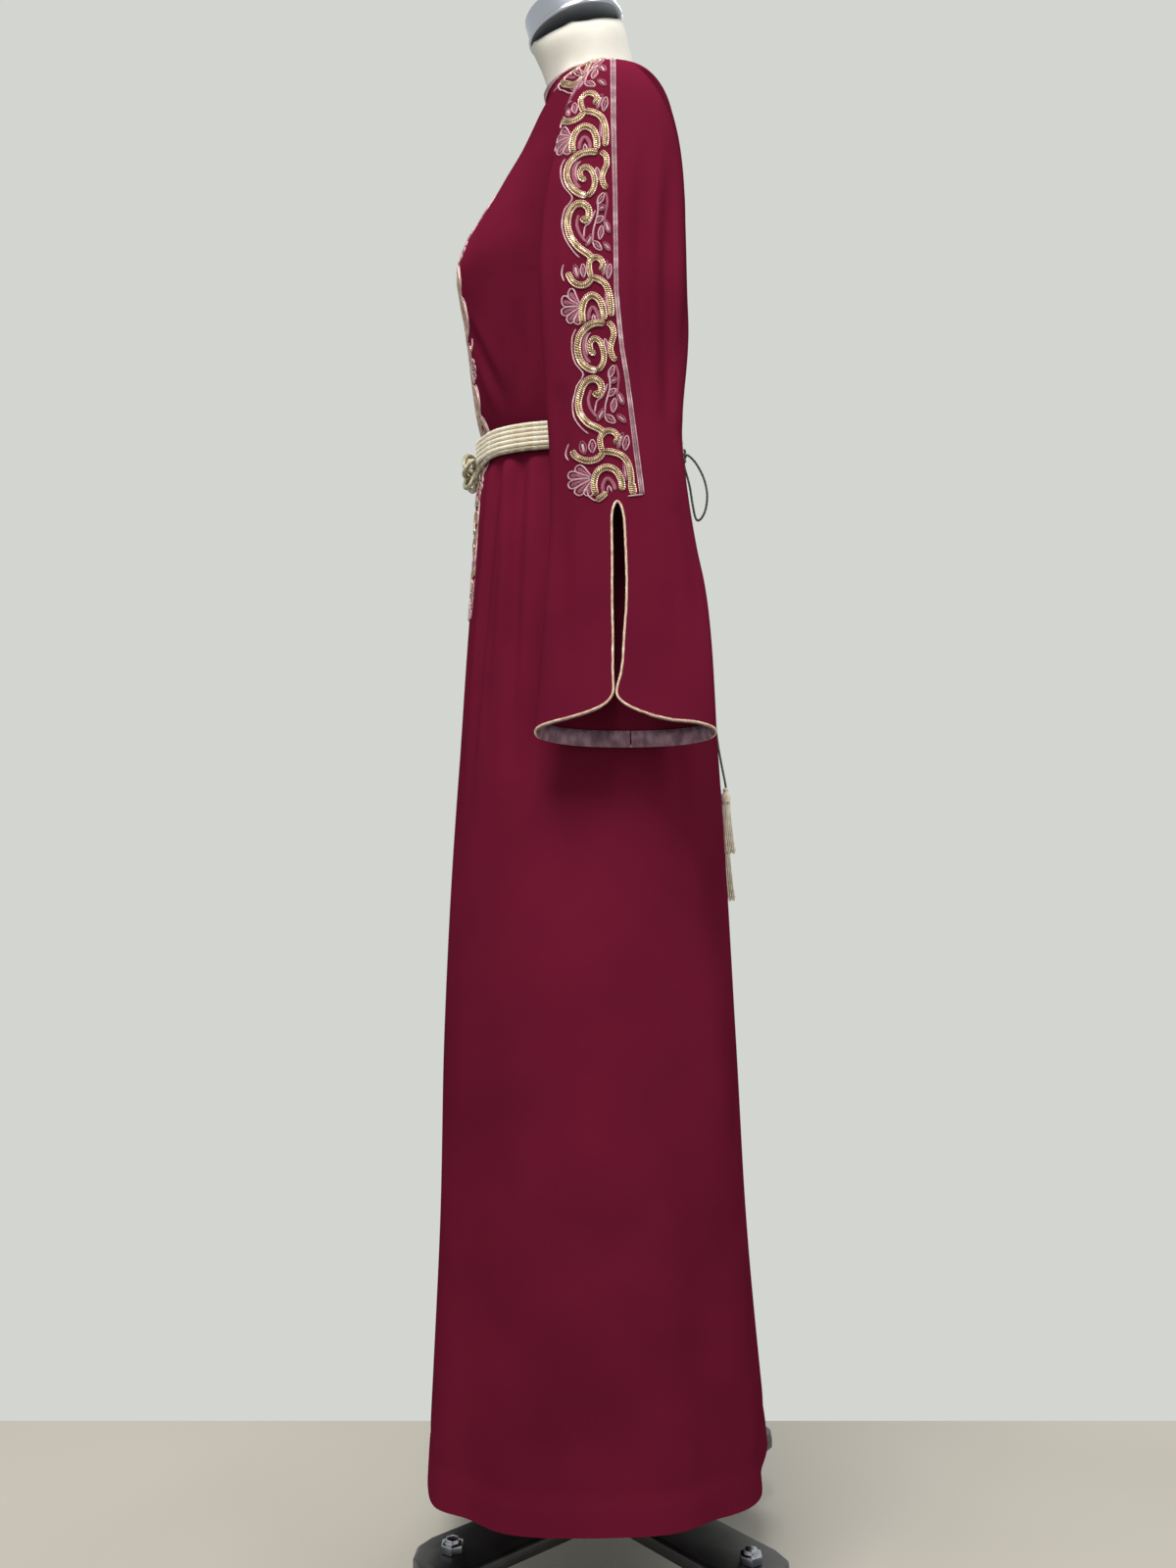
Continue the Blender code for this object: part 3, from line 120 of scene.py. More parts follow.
def add(made, kind, links=(), values=(), stops=(), **settings):
    """Add a node. links and values fill its inputs, settings its properties or named
    inputs, and stops are a colour ramp's, each as (position, hex)."""
    node = made.node_tree.nodes.new(kind)
    for key, value in settings.items():
        if hasattr(node, key):
            setattr(node, key, value)
        else:
            node.inputs[key.replace("_", " ")].default_value = value
    for socket, value in values:
        node.inputs[socket].default_value = value
    for socket, source in links:
        made.node_tree.links.new(source, node.inputs[socket])
    if stops:
        elements = node.color_ramp.elements
        while len(elements) < len(stops):
            elements.new(0.5)
        for element, (position, colour) in zip(elements, stops):
            element.position = position
            element.color = linear(colour)
    return node


def into_shader(made, **sources):
    """Feed the shader's inputs from other nodes' outputs."""
    shader = made.node_tree.nodes["Principled BSDF"]
    for socket, source in sources.items():
        made.node_tree.links.new(source, shader.inputs[socket.replace("_", " ")])


def wine_crepe():
    """Matt polyester crepe. A fine pebbled face with next to no shine, and slow
    changes of depth where the dye and the hang differ."""
    made = finish("wine_crepe", "#640a2a", 0.85, Specular_IOR_Level=0.0)
    place = add(made, "ShaderNodeTexCoord")
    slow = add(made, "ShaderNodeTexNoise", [("Vector", place.outputs["Object"])], Scale=9.0, Detail=2.0)
    tone = add(made, "ShaderNodeValToRGB", [("Fac", slow.outputs["Fac"])],
               stops=[(0.30, "#591429"), (0.70, "#64172e")])
    # Crepe yarns stand 0.4 mm apart, and are drawn at about 0.9 mm so that they show
    pebble = add(made, "ShaderNodeTexNoise", [("Vector", place.outputs["Object"])], Scale=1100.0, Detail=1.0)
    raised = add(made, "ShaderNodeBump", [("Height", pebble.outputs["Fac"])], Strength=0.35, Distance=0.00025)
    into_shader(made, Base_Color=tone.outputs["Color"], Normal=raised.outputs["Normal"])
    return made


BAND = 6.0 * MM
# How far the stitches slant along a band, as a share of their way across it
STITCH_SLANT = 0.35
# Where a ribbon's corded edge begins and is whole, as shares of the band off its middle
EDGE_CORD = (0.345, 0.370)


def ribbed_thread(name, stops, roughness, metallic, pitch, edge=None, rib_shading=0.08):
    """Satin stitch or braid: threads laid side by side across a narrow band.

    The band's own UV map runs in metres: u from 0 to 6 mm across it, however
    wide it is, and v along it. stops go from painted shade between two threads
    to a painted highlight on their crowns. edge is the colour of the cords along
    the band's sides, and ribs is how far the painted shade and highlight swing
    across each thread's own width."""
    made = finish(name, stops[0][1], roughness, metallic)
    place = add(made, "ShaderNodeUVMap")
    parts = add(made, "ShaderNodeSeparateXYZ", [("Vector", place.outputs["UV"])])
    # Slow noise along the band: random changes of tone, and patches where the stitches reach the painted
    # highlight at the ramp's top
    slow = add(made, "ShaderNodeTexNoise", [("Vector", place.outputs["UV"])], Scale=120.0, Detail=1.0)
    slant = add(made, "ShaderNodeMath", [(0, parts.outputs["X"])], [(1, STITCH_SLANT)], operation="MULTIPLY")
    along = add(made, "ShaderNodeMath", [(0, parts.outputs["Y"]), (1, slant.outputs[0])], operation="ADD")
    turns = add(made, "ShaderNodeMath", [(0, along.outputs[0])], [(1, 2 * math.pi / pitch)],
                operation="MULTIPLY")
    wave = add(made, "ShaderNodeMath", [(0, turns.outputs[0])], operation="SINE")
    # The ramp is read across each stitch: painted shade between the stitches, a painted highlight on their
    # crowns
    shine = add(made, "ShaderNodeMath", [(0, wave.outputs[0]), (2, slow.outputs["Fac"])], [(1, rib_shading)],
                operation="MULTIPLY_ADD")
    tone = add(made, "ShaderNodeValToRGB", [("Fac", shine.outputs[0])], stops=stops)
    body = tone.outputs["Color"]
    if edge:
        middle = add(made, "ShaderNodeMath", [(0, parts.outputs["X"])], [(1, BAND / 2)], operation="SUBTRACT")
        away = add(made, "ShaderNodeMath", [(0, middle.outputs[0])], operation="ABSOLUTE")
        border = add(made, "ShaderNodeMapRange", [("Value", away.outputs[0])],
                     From_Min=EDGE_CORD[0] * BAND, From_Max=EDGE_CORD[1] * BAND)
        mix = add(made, "ShaderNodeMix", [("Factor", border.outputs["Result"]), (6, body)],
                  [(7, linear(edge))], data_type="RGBA")
        body = mix.outputs[2]
    raised = add(made, "ShaderNodeBump", [("Height", wave.outputs[0])], Strength=0.8, Distance=0.00016)
    into_shader(made, Base_Color=body, Normal=raised.outputs["Normal"])
    return made


# Each thread's stops run from painted shade between its stitches up to a painted highlight on their crowns
# Metallic yarn wrapped on a core: a painted highlight where the stitches crown, painted shade between them
GOLD_THREAD = ribbed_thread(
    "gold_satin_stitch", [(0.28, "#4a3925"), (0.52, "#806a4a"), (0.66, "#a78e69"), (0.76, "#f6ecd6")],
    0.30, 0.45, 1.8 * MM, edge="#c9aa9e", rib_shading=0.13)
# Silver yarn plied with pale pink silk: a soft painted gleam, and painted shade between the stitches that the
# pink silk tints rosy
SILVER_THREAD = ribbed_thread("silver_pink_stitch", [(0.30, "#a87d8a"), (0.55, "#cda6af"), (0.75, "#f0dddd")],
                              0.42, 0.15, 0.9 * MM)
# Rose silk floss, laid flat and nearly matt
PINK_THREAD = ribbed_thread("rose_silk_stitch", [(0.30, "#80384f"), (0.60, "#9c536b"), (0.78, "#c58f9e")],
                            0.50, 0.05, 0.8 * MM)
# Mauve viscose braid with a thin metal thread in it
MAUVE_BRAID = ribbed_thread("mauve_edge_braid", [(0.30, "#7a5560"), (0.60, "#977680"), (0.78, "#c9b0b2")],
                            0.50, 0.15, 0.7 * MM)
# Pale viscose and metal-thread cord, as sold for belts and edgings
PALE_CORD = ribbed_thread("pale_gold_cord", [(0.30, "#dccfb4"), (0.50, "#f4ead6"), (0.70, "#fffdf6")],
                          0.48, 0.05, 0.8 * MM)
# Fine gold piping cord, redder than the belt's
PIPING_CORD = ribbed_thread("gold_piping_cord", [(0.30, "#b4907a"), (0.52, "#dcbea6"), (0.72, "#faecdc")],
                            0.42, 0.15, 0.8 * MM)
# Silver and gilt threads twisted together: greyer and brighter than the pale cords
SILVER_CORD = ribbed_thread("silver_gold_cord", [(0.30, "#8f8872"), (0.55, "#b5ac94"), (0.75, "#ddd6c4")],
                            0.40, 0.40, 0.9 * MM)
# Woven overlock tape, greyish mauve with pale stitches
TAPE = ribbed_thread("hem_tape", [(0.32, "#68475a"), (0.52, "#846374"), (0.72, "#a68b98")],
                     0.80, 0.0, 1.4 * MM, rib_shading=0.16)
# Waxed cotton cord, coloured nearly black olive: partly its own dark tone, partly painted shade from hanging
# behind the form
SHADED_DARK_CORD = ribbed_thread("dark_cord", [(0.30, "#3d3b35"), (0.70, "#6a6860")], 0.62, 0.0, 1.0 * MM)
CREPE = wine_crepe()


def ivory_jersey():
    """Cotton jersey stretched over a padded form: matt, faint knit and slight soiling."""
    made = finish("ivory_jersey", "#dcd6ca", 0.85, Sheen_Weight=0.15, Specular_IOR_Level=0.25)
    place = add(made, "ShaderNodeTexCoord")
    soil = add(made, "ShaderNodeTexNoise", [("Vector", place.outputs["Object"])], Scale=24.0, Detail=3.0)
    tone = add(made, "ShaderNodeValToRGB", [("Fac", soil.outputs["Fac"])],
               stops=[(0.30, "#b9b7b0"), (0.65, "#c4c2bb")])
    # Knitted loops stand 0.5 mm apart, and are drawn at about 1.1 mm so that they show
    knit = add(made, "ShaderNodeTexNoise", [("Vector", place.outputs["Object"])], Scale=900.0, Detail=1.0)
    raised = add(made, "ShaderNodeBump", [("Height", knit.outputs["Fac"])], Strength=0.3, Distance=0.0002)
    into_shader(made, Base_Color=tone.outputs["Color"], Normal=raised.outputs["Normal"])
    return made


def chrome():
    """Chromium plate on turned steel: mirror bright, dulled in patches by wiping."""
    made = finish("chrome", "#b7bcc8", 0.2, 1.0)
    place = add(made, "ShaderNodeTexCoord")
    marks = add(made, "ShaderNodeTexNoise", [("Vector", place.outputs["Object"])], Scale=60.0, Detail=3.0)
    rough = add(made, "ShaderNodeMapRange", [("Value", marks.outputs["Fac"])], To_Min=0.14, To_Max=0.30)
    into_shader(made, Roughness=rough.outputs["Result"])
    return made


def black_enamel():
    """Sand-cast iron under black enamel: satin, with the casting's orange-peel showing."""
    made = finish("black_iron", "#141416", 0.42, Coat_Weight=0.3, Coat_Roughness=0.25)
    place = add(made, "ShaderNodeTexCoord")
    grain = add(made, "ShaderNodeTexNoise", [("Vector", place.outputs["Object"])], Scale=420.0, Detail=2.0)
    scuffs = add(made, "ShaderNodeTexNoise", [("Vector", place.outputs["Object"])], Scale=35.0, Detail=4.0)
    tone = add(made, "ShaderNodeValToRGB", [("Fac", scuffs.outputs["Fac"])],
               stops=[(0.45, "#121214"), (0.80, "#2b2b2e")])
    raised = add(made, "ShaderNodeBump", [("Height", grain.outputs["Fac"])], Strength=0.35, Distance=0.0003)
    into_shader(made, Base_Color=tone.outputs["Color"], Normal=raised.outputs["Normal"])
    return made


def castor_rubber():
    """Moulded black rubber, greyed by dust on the tread."""
    made = finish("castor_rubber", "#1d1d1f", 0.75)
    place = add(made, "ShaderNodeTexCoord")
    dust = add(made, "ShaderNodeTexNoise", [("Vector", place.outputs["Object"])], Scale=90.0, Detail=3.0)
    tone = add(made, "ShaderNodeValToRGB", [("Fac", dust.outputs["Fac"])],
               stops=[(0.40, "#19191b"), (0.75, "#3a3837")])
    raised = add(made, "ShaderNodeBump", [("Height", dust.outputs["Fac"])], Strength=0.3, Distance=0.0002)
    into_shader(made, Base_Color=tone.outputs["Color"], Normal=raised.outputs["Normal"])
    return made


IVORY = ivory_jersey()
CHROME = chrome()
BLACK_IRON = black_enamel()
RUBBER = castor_rubber()


# Making of pieces
def keep(shape, name, made, slot, nodes=(), body=GARMENT):
    """Turn a bmesh into a finished piece that rides on a body."""
    mesh = bpy.data.meshes.new(name)
    shape.to_mesh(mesh)
    shape.free()
    mesh.materials.append(made)
    obj = placed(name, mesh)
    mesh.shade_smooth()
    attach(obj, body)
    if nodes:
        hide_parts(*nodes)
    return obj


def node_shape(node):
    """A merged copy of one solid, where it stands."""
    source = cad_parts[node]
    shape = bmesh.new()
    shape.from_mesh(source.data)
    shape.transform(source.matrix_world)
    bmesh.ops.remove_doubles(shape, verts=shape.verts[:], dist=1e-5)
    return shape


def node_points(node):
    shape = node_shape(node)
    points = np.array([tuple(v.co) for v in shape.verts])
    shape.free()
    return points


def node_tree(node):
    shape = node_shape(node)
    tree = BVHTree.FromBMesh(shape)
    shape.free()
    return tree


def laid_grid(shape, points, size, across=None):
    """A grid laid on an array of points [along][across], with UVs in metres.

    across gives the columns' places from -1 to 1 where they aren't even."""
    rows, columns = points.shape[0] - 1, points.shape[1] - 1
    uv = shape.loops.layers.uv.verify()
    verts = bmesh.ops.create_grid(shape, x_segments=columns, y_segments=rows, size=1)["verts"]
    share = np.linspace(0, 1, columns + 1) if across is None else (np.array(across) + 1) / 2
    at = {}
    for vert in verts:
        at[vert] = (round((vert.co.y + 1) / 2 * rows), round((vert.co.x + 1) / 2 * columns))
    for face in {face for vert in verts for face in vert.link_faces}:
        for loop in face.loops:
            j, i = at[loop.vert]
            loop[uv].uv = (size[0] * share[i], size[1] * j / rows)
    for vert, (j, i) in at.items():
        vert.co = points[j, i]


def cubic(t, start, end, slope_in, slope_out):
    """A smooth step from start to end, with the given slopes at its two ends."""
    return ((2 * t**3 - 3 * t**2 + 1) * start + (t**3 - 2 * t**2 + t) * slope_in
            + (3 * t**2 - 2 * t**3) * end + (t**3 - t**2) * slope_out)


def run_along(points):
    """How far each point lies along the line through them."""
    return np.concatenate([[0], np.cumsum(np.linalg.norm(np.diff(points, axis=0), axis=1))])


def curve(points, closed=False):
    """A fine smooth curve through the given points, and the run at each place of it."""
    knots = np.array(points, float)
    last = len(knots) - (0 if closed else 1)
    t = np.linspace(0, last, 16 * last + 1)
    left = np.minimum(t.astype(int), last - 1)
    f = (t - left)[:, None]
    if closed:
        before, start, end, after = (knots[(left + k) % last] for k in (-1, 0, 1, 2))
    else:
        before, start, end, after = (knots[np.clip(left + k, 0, last)] for k in (-1, 0, 1, 2))
    fine = cubic(f, start, end, (end - before) / 2, (after - start) / 2)
    return fine, run_along(fine)


def length_of(points, closed=False):
    return curve(points, closed)[1][-1]


def through(points, count, closed=False):
    """Evenly spaced points on a smooth curve through the given ones."""
    fine, run = curve(points, closed)
    wanted = np.linspace(0, run[-1], count + (1 if closed else 0))[:count]
    return np.stack([np.interp(wanted, run, column) for column in fine.T], axis=1)


def unit(vectors):
    return vectors / np.maximum(np.linalg.norm(vectors, axis=-1, keepdims=True), 1e-12)


def tangents(points, closed=False):
    if closed:
        return unit(np.roll(points, -1, axis=0) - np.roll(points, 1, axis=0))
    return unit(np.gradient(points, axis=0))


def carried_sides(points, closed=False):
    """Two axes across a path, carried along it without twisting."""
    along = tangents(points, closed)
    start = np.cross(along[0], (0.0, 0.0, 1.0))
    if np.linalg.norm(start) < 0.1:
        start = np.cross(along[0], (1.0, 0.0, 0.0))
    side = [start / np.linalg.norm(start)]
    for a in along[1:]:
        s = side[-1] - a * side[-1].dot(a)
        side.append(s / np.linalg.norm(s))
    side = np.array(side)
    if closed:
        last = side[-1] - along[0] * side[-1].dot(along[0])
        short = math.atan2(np.cross(last, side[0]).dot(along[0]), last.dot(side[0]))
        angle = (short * np.linspace(0, 1, len(side)))[:, None]
        side = side * np.cos(angle) + np.cross(along, side) * np.sin(angle)
    return side, np.cross(along, side)


def twisted_cord(shape, points, radius, pitch, strands=3, depth=0.16, columns=10, closed=False, hand=1):
    """A round cord laid up of strands, along evenly spaced points. hand is 1 or -1."""
    side, up = carried_sides(points, closed)
    steps = run_along(points)
    if closed:
        whole = steps[-1] + np.linalg.norm(points[0] - points[-1])
        pitch = whole / round(whole / pitch)
    turn = np.linspace(0, 2 * math.pi, columns + 1)
    phase = hand * steps / pitch * 2 * math.pi / strands
    swell = radius * (1 - depth + depth * np.abs(np.cos(strands / 2 * (turn[None, :] - phase[:, None]))))
    offset = (side[:, None, :] * np.cos(turn)[None, :, None] + up[:, None, :] * np.sin(turn)[None, :, None])
    grid = points[:, None, :] + offset * swell[:, :, None]
    grid[:, -1] = grid[:, 0]
    if closed:
        grid = np.concatenate([grid, grid[:1]])
    laid_grid(shape, grid, (2 * math.pi * radius, steps[-1]))


def close_up(shape):
    bmesh.ops.remove_doubles(shape, verts=shape.verts[:], dist=1e-6)
    bmesh.ops.holes_fill(shape, edges=[e for e in shape.edges if e.is_boundary], sides=40)
    bmesh.ops.recalc_face_normals(shape, faces=shape.faces[:])


# Tie at the back
TIE_DIAMETER = 0.0024
TIE_TWIST = 0.0042
# Routes of the free cord down from the knot, point by point
TIE_LOOP = [(0.0757, -0.0061, 1.1165), (0.0790, -0.0095, 1.1170), (0.0870, -0.0125, 1.1080),
            (0.0945, -0.0165, 1.0920), (0.0975, -0.0205, 1.0750), (0.0955, -0.0230, 1.0590),
            (0.0905, -0.0220, 1.0500), (0.0865, -0.0170, 1.0520), (0.0838, -0.0110, 1.0670),
            (0.0810, -0.0065, 1.0870), (0.0768, -0.0034, 1.1040), (0.0757, -0.0030, 1.1100)]
TIE_ENDS = {
    "left": [(0.0759, 0.0005, 1.1096), (0.0768, 0.0015, 1.0980), (0.0794, 0.0060, 1.0750),
             (0.0840, 0.0130, 1.0400), (0.0935, 0.0200, 0.9800), (0.1035, 0.0250, 0.9000),
             (0.1125, 0.0280, 0.8300), (0.1210, 0.0300, 0.7850)],
    "right": [(0.0758, 0.0037, 1.1105), (0.0768, 0.0062, 1.0980), (0.0794, 0.0125, 1.0750),
              (0.0840, 0.0220, 1.0400), (0.0925, 0.0340, 0.9800), (0.1020, 0.0440, 0.9000),
              (0.1120, 0.0500, 0.8200), (0.1232, 0.0540, 0.7350)],
}
TIE_KNOT_MIDDLE = np.array((0.0757, 0.0, 1.118))
TIE_KNOT_HALF = np.array((0.0032, 0.0055, 0.0080))
CORD_STEP = 0.0011


def tie_cord(name, points):
    """A stretch of the tie's two-strand cord, along evenly spaced points."""
    shape = bmesh.new()
    twisted_cord(shape, points, TIE_DIAMETER / 2, TIE_TWIST, strands=2, depth=0.14, columns=8)
    close_up(shape)
    return keep(shape, name + "_cord", SHADED_DARK_CORD, "dark_cord", [name])


def hanging_cord(name, route):
    """One limp hanging stretch of the tie."""
    length = length_of(route)
    points = through(route, int(length / CORD_STEP) + 1)
    tie_cord(name, points)
    tuple(route[0])


# The tassel's head hangs this far below the cord's end, and the cord runs on inside it
TASSEL_DROP = 0.0004
BOUND_IN_HEAD = 0.013
# (height below the top, radius) down the wrapped head
TASSEL_HEAD = [(0.0000, 0.0008), (0.0006, 0.0016), (0.0020, 0.0029), (0.0032, 0.0030), (0.0045, 0.0027),
               (0.0058, 0.0034), (0.0075, 0.0043), (0.0095, 0.0049), (0.0120, 0.0050), (0.0150, 0.0049)]
HEAD_HEIGHT = 0.0150
HEAD_SIDES = 16
# The head's girth and height, along which its threads are drawn
HEAD_THREADS = (0.031, 0.018)
# The thread wound round the head: how far apart its turns lie and how far they stand out
WINDING_PITCH = 0.0011
WINDING_RISE = 0.00022
STRANDS = 44
STRAND_LENGTH = 0.0515
STRAND_RADIUS = 0.00062
STRAND_TWIST = 0.0022
# How far the outermost strand starts off the middle, and how much further out it ends
STRAND_REACH = 0.0042
STRAND_FLARE = 1.62
# From one strand to the next round the tassel, in radians: the golden angle fills the disc evenly
STRAND_TURN = 2.39996
STRAND_TUCK = 0.002
# The skirt's slope pushes the strands' ends back a little
TASSEL_LEAN = 0.0036


def tassel(name, top):
    """A cord-wrapped head over looped bullion strands, cut to one length."""
    shape = bmesh.new()
    fine = through([(h, r, 0) for h, r in TASSEL_HEAD], 60)
    turn = np.linspace(0, 2 * math.pi, HEAD_SIDES + 1)
    grid = np.zeros((len(fine), len(turn), 3))
    for j, (height, radius, _) in enumerate(fine):
        wound = radius + WINDING_RISE * math.sin(height / WINDING_PITCH * 2 * math.pi)
        grid[j, :, 0] = top[0] + wound * np.cos(turn)
        grid[j, :, 1] = top[1] + wound * np.sin(turn)
        grid[j, :, 2] = top[2] - height
    grid[:, -1] = grid[:, 0]
    laid_grid(shape, grid, HEAD_THREADS)
    for k in range(STRANDS):
        angle = k * STRAND_TURN
        reach = STRAND_REACH * (0.25 + 0.75 * math.sqrt((k + 0.5) / STRANDS))
        # Each strand flares, hangs and bows a little differently
        flare = STRAND_FLARE + 0.10 * math.sin(k * 2.4)
        drop = STRAND_LENGTH * (1 - 0.035 * math.sin(k * 1.7)) + STRAND_TUCK
        bow = 0.0006 * math.sin(k * 3.1)
        points = []
        for t in np.linspace(0, 1, 13):
            spread = reach * (1 + (flare - 1) * t**0.8)
            points.append((top[0] + spread * math.cos(angle) + bow * math.sin(3 * t) + TASSEL_LEAN * t * t,
                           top[1] + spread * math.sin(angle) + bow * math.cos(2 * t),
                           top[2] - HEAD_HEIGHT + STRAND_TUCK - drop * t))
        twisted_cord(shape, through(points, 26), STRAND_RADIUS, STRAND_TWIST,
                     strands=2, depth=0.25, columns=5)
    close_up(shape)
    return keep(shape, name + "_bullion", PALE_CORD, "gold_thread", [name])


KNOT_TURNS = 4
KNOT_PLACES = 161
# The least girth of the knot's ends, as a share of its middle, squared
KNOT_END_GIRTH = 0.06


def tie_knot():
    """The tie's wrapped knot: four turns of its own cord, one below the other."""
    half = TIE_KNOT_HALF - TIE_DIAMETER / 2
    points = []
    for t in np.linspace(0, 1, KNOT_PLACES):
        angle = 2 * math.pi * KNOT_TURNS * t
        level = math.cos(math.pi * t)
        girth = math.sqrt(max(1 - level * level, KNOT_END_GIRTH))
        points.append(TIE_KNOT_MIDDLE + half * (girth * math.cos(angle), girth * math.sin(angle), level))
    tie_cord("tie_knot", np.array(points))


tie_knot()
hanging_cord("tie_loop", TIE_LOOP)
for side_name, route in TIE_ENDS.items():
    end = np.array(route[-1]) - (0, 0, TASSEL_DROP)
    hanging = tassel("tassel_" + side_name, end)
    bound_in = (*route[-1][:2], route[-1][2] - BOUND_IN_HEAD)
    hanging_cord("tie_end_" + side_name, route + [bound_in])


# Cloth surface
# Sections of the body's cloth from the hem up: heights and depths at its side, front
# and back, half its width, and how square it is, where 2 is an ellipse
Section = namedtuple("Section", "side_z front_z back_z front_x back_x side_x half_y square")
BODY = [
    Section(0.150, 0.142, 0.160, -0.174, 0.152, -0.010, 0.236, 3.2),
    Section(0.360, 0.355, 0.365, -0.165, 0.134, -0.010, 0.226, 3.0),
    Section(0.550, 0.547, 0.553, -0.161, 0.123, -0.010, 0.209, 2.8),
    Section(0.740, 0.740, 0.740, -0.152, 0.112, -0.012, 0.187, 2.6),
    Section(0.890, 0.890, 0.890, -0.142, 0.101, -0.012, 0.170, 2.4),
    Section(1.000, 1.000, 1.000, -0.135, 0.089, -0.014, 0.153, 2.2),
    Section(1.088, 1.088, 1.088, -0.1295, 0.071, -0.015, 0.1325, 2.1),
    Section(1.112, 1.112, 1.112, -0.1185, 0.0635, -0.015, 0.1265, 2.1),
    Section(1.144, 1.144, 1.144, -0.1305, 0.0655, -0.013, 0.1345, 2.1),
    Section(1.205, 1.212, 1.212, -0.140, 0.073, -0.006, 0.145, 2.2),
    Section(1.245, 1.264, 1.264, -0.149, 0.075, 0.001, 0.151, 2.2),
    Section(1.290, 1.302, 1.315, -0.150, 0.076, 0.001, 0.157, 2.2),
    Section(1.340, 1.354, 1.360, -0.118, 0.076, 0.001, 0.165, 2.2),
    Section(1.385, 1.383, 1.402, -0.095, 0.072, 0.001, 0.173, 2.1),
    Section(1.424, 1.410, 1.437, -0.079, 0.063, 0.001, 0.181, 2.0),
    Section(1.445, 1.434, 1.462, -0.064, 0.053, -0.004, 0.140, 2.0),
    Section(1.466, 1.459, 1.483, -0.060, 0.044, -0.010, 0.096, 1.8),
    Section(1.487, 1.483, 1.500, -0.0640, 0.037, -0.015, 0.0515, 1.75),
]
# Rows of the table at which the armhole starts and ends, and the neck's edge
ARMPIT = 10
SHOULDER_POINT = 14
NECK_EDGE = 17
ARMHOLE_HALF_X = 0.050
STEPS_PER_SECTION = (3, 3, 2, 2, 1, 1, 1, 1, 1, 1)
FRONT_COLUMNS = 7
ARMHOLE_ROWS = 9
# Broad folds of the skirt: degrees from the centre front, how far each drifts round on its
# way down and how wide it is, also in degrees, its depth at the hem, and where it starts
Fold = namedtuple("Fold", "turn drift spread depth top_z")
SKIRT_FOLDS = [Fold(30, 6, 11, 0.006, 1.05), Fold(56, -3, 10, -0.006, 0.85), Fold(82, 4, 12, 0.005, 0.95),
               Fold(112, 3, 10, -0.007, 0.80), Fold(136, 2, 9, 0.006, 0.95), Fold(158, -4, 10, -0.006, 0.75)]
# Sections of the sleeve from the shoulder down to the cuff
SleeveSection = namedtuple("SleeveSection", "out_y out_z in_y in_z front_x back_x square")
SLEEVE = [
    SleeveSection(0.196, 1.417, 0.157, 1.237, -0.050, 0.057, 2.0),
    SleeveSection(0.207, 1.393, 0.161, 1.222, -0.053, 0.0625, 2.0),
    SleeveSection(0.213, 1.353, 0.164, 1.200, -0.059, 0.064, 2.1),
    SleeveSection(0.217, 1.300, 0.167, 1.170, -0.0625, 0.0645, 2.2),
    SleeveSection(0.218, 1.240, 0.169, 1.130, -0.062, 0.064, 2.3),
    SleeveSection(0.218, 1.170, 0.171, 1.085, -0.058, 0.059, 2.3),
    SleeveSection(0.217, 1.100, 0.173, 1.040, -0.054, 0.060, 2.3),
    SleeveSection(0.218, 1.026, 0.176, 0.990, -0.054, 0.070, 2.3),
    SleeveSection(0.222, 0.960, 0.179, 0.935, -0.058, 0.081, 2.3),
    SleeveSection(0.226, 0.900, 0.182, 0.880, -0.063, 0.087, 2.3),
    SleeveSection(0.230, 0.840, 0.185, 0.818, -0.068, 0.090, 2.3),
]
SLEEVE_STEPS = (1, 1, 1, 1, 1, 1, 1, 2, 2, 2)
# Rows of the table at which the slit starts, its arch a little lower, and the cuff
SLIT_TOP = 7
SLIT_ARCH = 0.15
CUFF = 10
# (distance below the slit's top, half its width) and (distance, how far its middle drifts forwards)
SLIT_HALF_WIDTH = ((0.0, 0.0), (0.010, 0.0055), (0.05, 0.0070), (0.09, 0.0068),
                   (0.125, 0.0052), (0.150, 0.0040), (0.20, 0.0040))
SLIT_DRIFT = ((-0.074, 0.0), (0.0, -0.004), (0.19, -0.009))
# The cuff rises to the slit's foot, over a longer run in front of it than behind
CUFF_RISE = 0.020
CUFF_RISE_RUN = (0.020, 0.012)
CLOTH = 0.0016


def smooth_value(points, at):
    """A smooth curve through evenly numbered values, read at a position."""
    last = len(points) - 1
    at = min(max(at, 0.0), float(last))
    left = min(int(at), last - 1)
    t = at - left
    before, start, end, after = (points[min(max(left + k, 0), last)] for k in (-1, 0, 1, 2))
    return cubic(t, start, end, (end - before) / 2, (after - start) / 2)


def section_at(table, at):
    kind = type(table[0])
    return kind(*[smooth_value([row[k] for row in table], at) for k in range(len(kind._fields))])


def fold_depth(turn, z):
    """How far the skirt's folds push the cloth in or out at one place."""
    depth = 0.0
    for fold in SKIRT_FOLDS:
        if z < fold.top_z:
            down = (fold.top_z - z) / (fold.top_z - BODY[0].side_z)
            middle = fold.turn + fold.drift * down
            depth += fold.depth * min(down, 1.0) * math.exp(-((turn - middle) / fold.spread) ** 2)
    return depth


def body_point(at, turn):
    """A point of the body's left half, turn in degrees from the centre front."""
    row = section_at(BODY, at)
    cos, sin = math.cos(math.radians(turn)), math.sin(math.radians(turn))
    end_x, end_z = (row.front_x, row.front_z) if cos > 0 else (row.back_x, row.back_z)
    power = 2 / row.square
    x = row.side_x + (end_x - row.side_x) * abs(cos) ** power
    y = -row.half_y * abs(sin) ** power
    z = row.side_z + (end_z - row.side_z) * cos**2
    push = fold_depth(turn, z)
    return Vector((x - push * cos, y - push * sin, z))


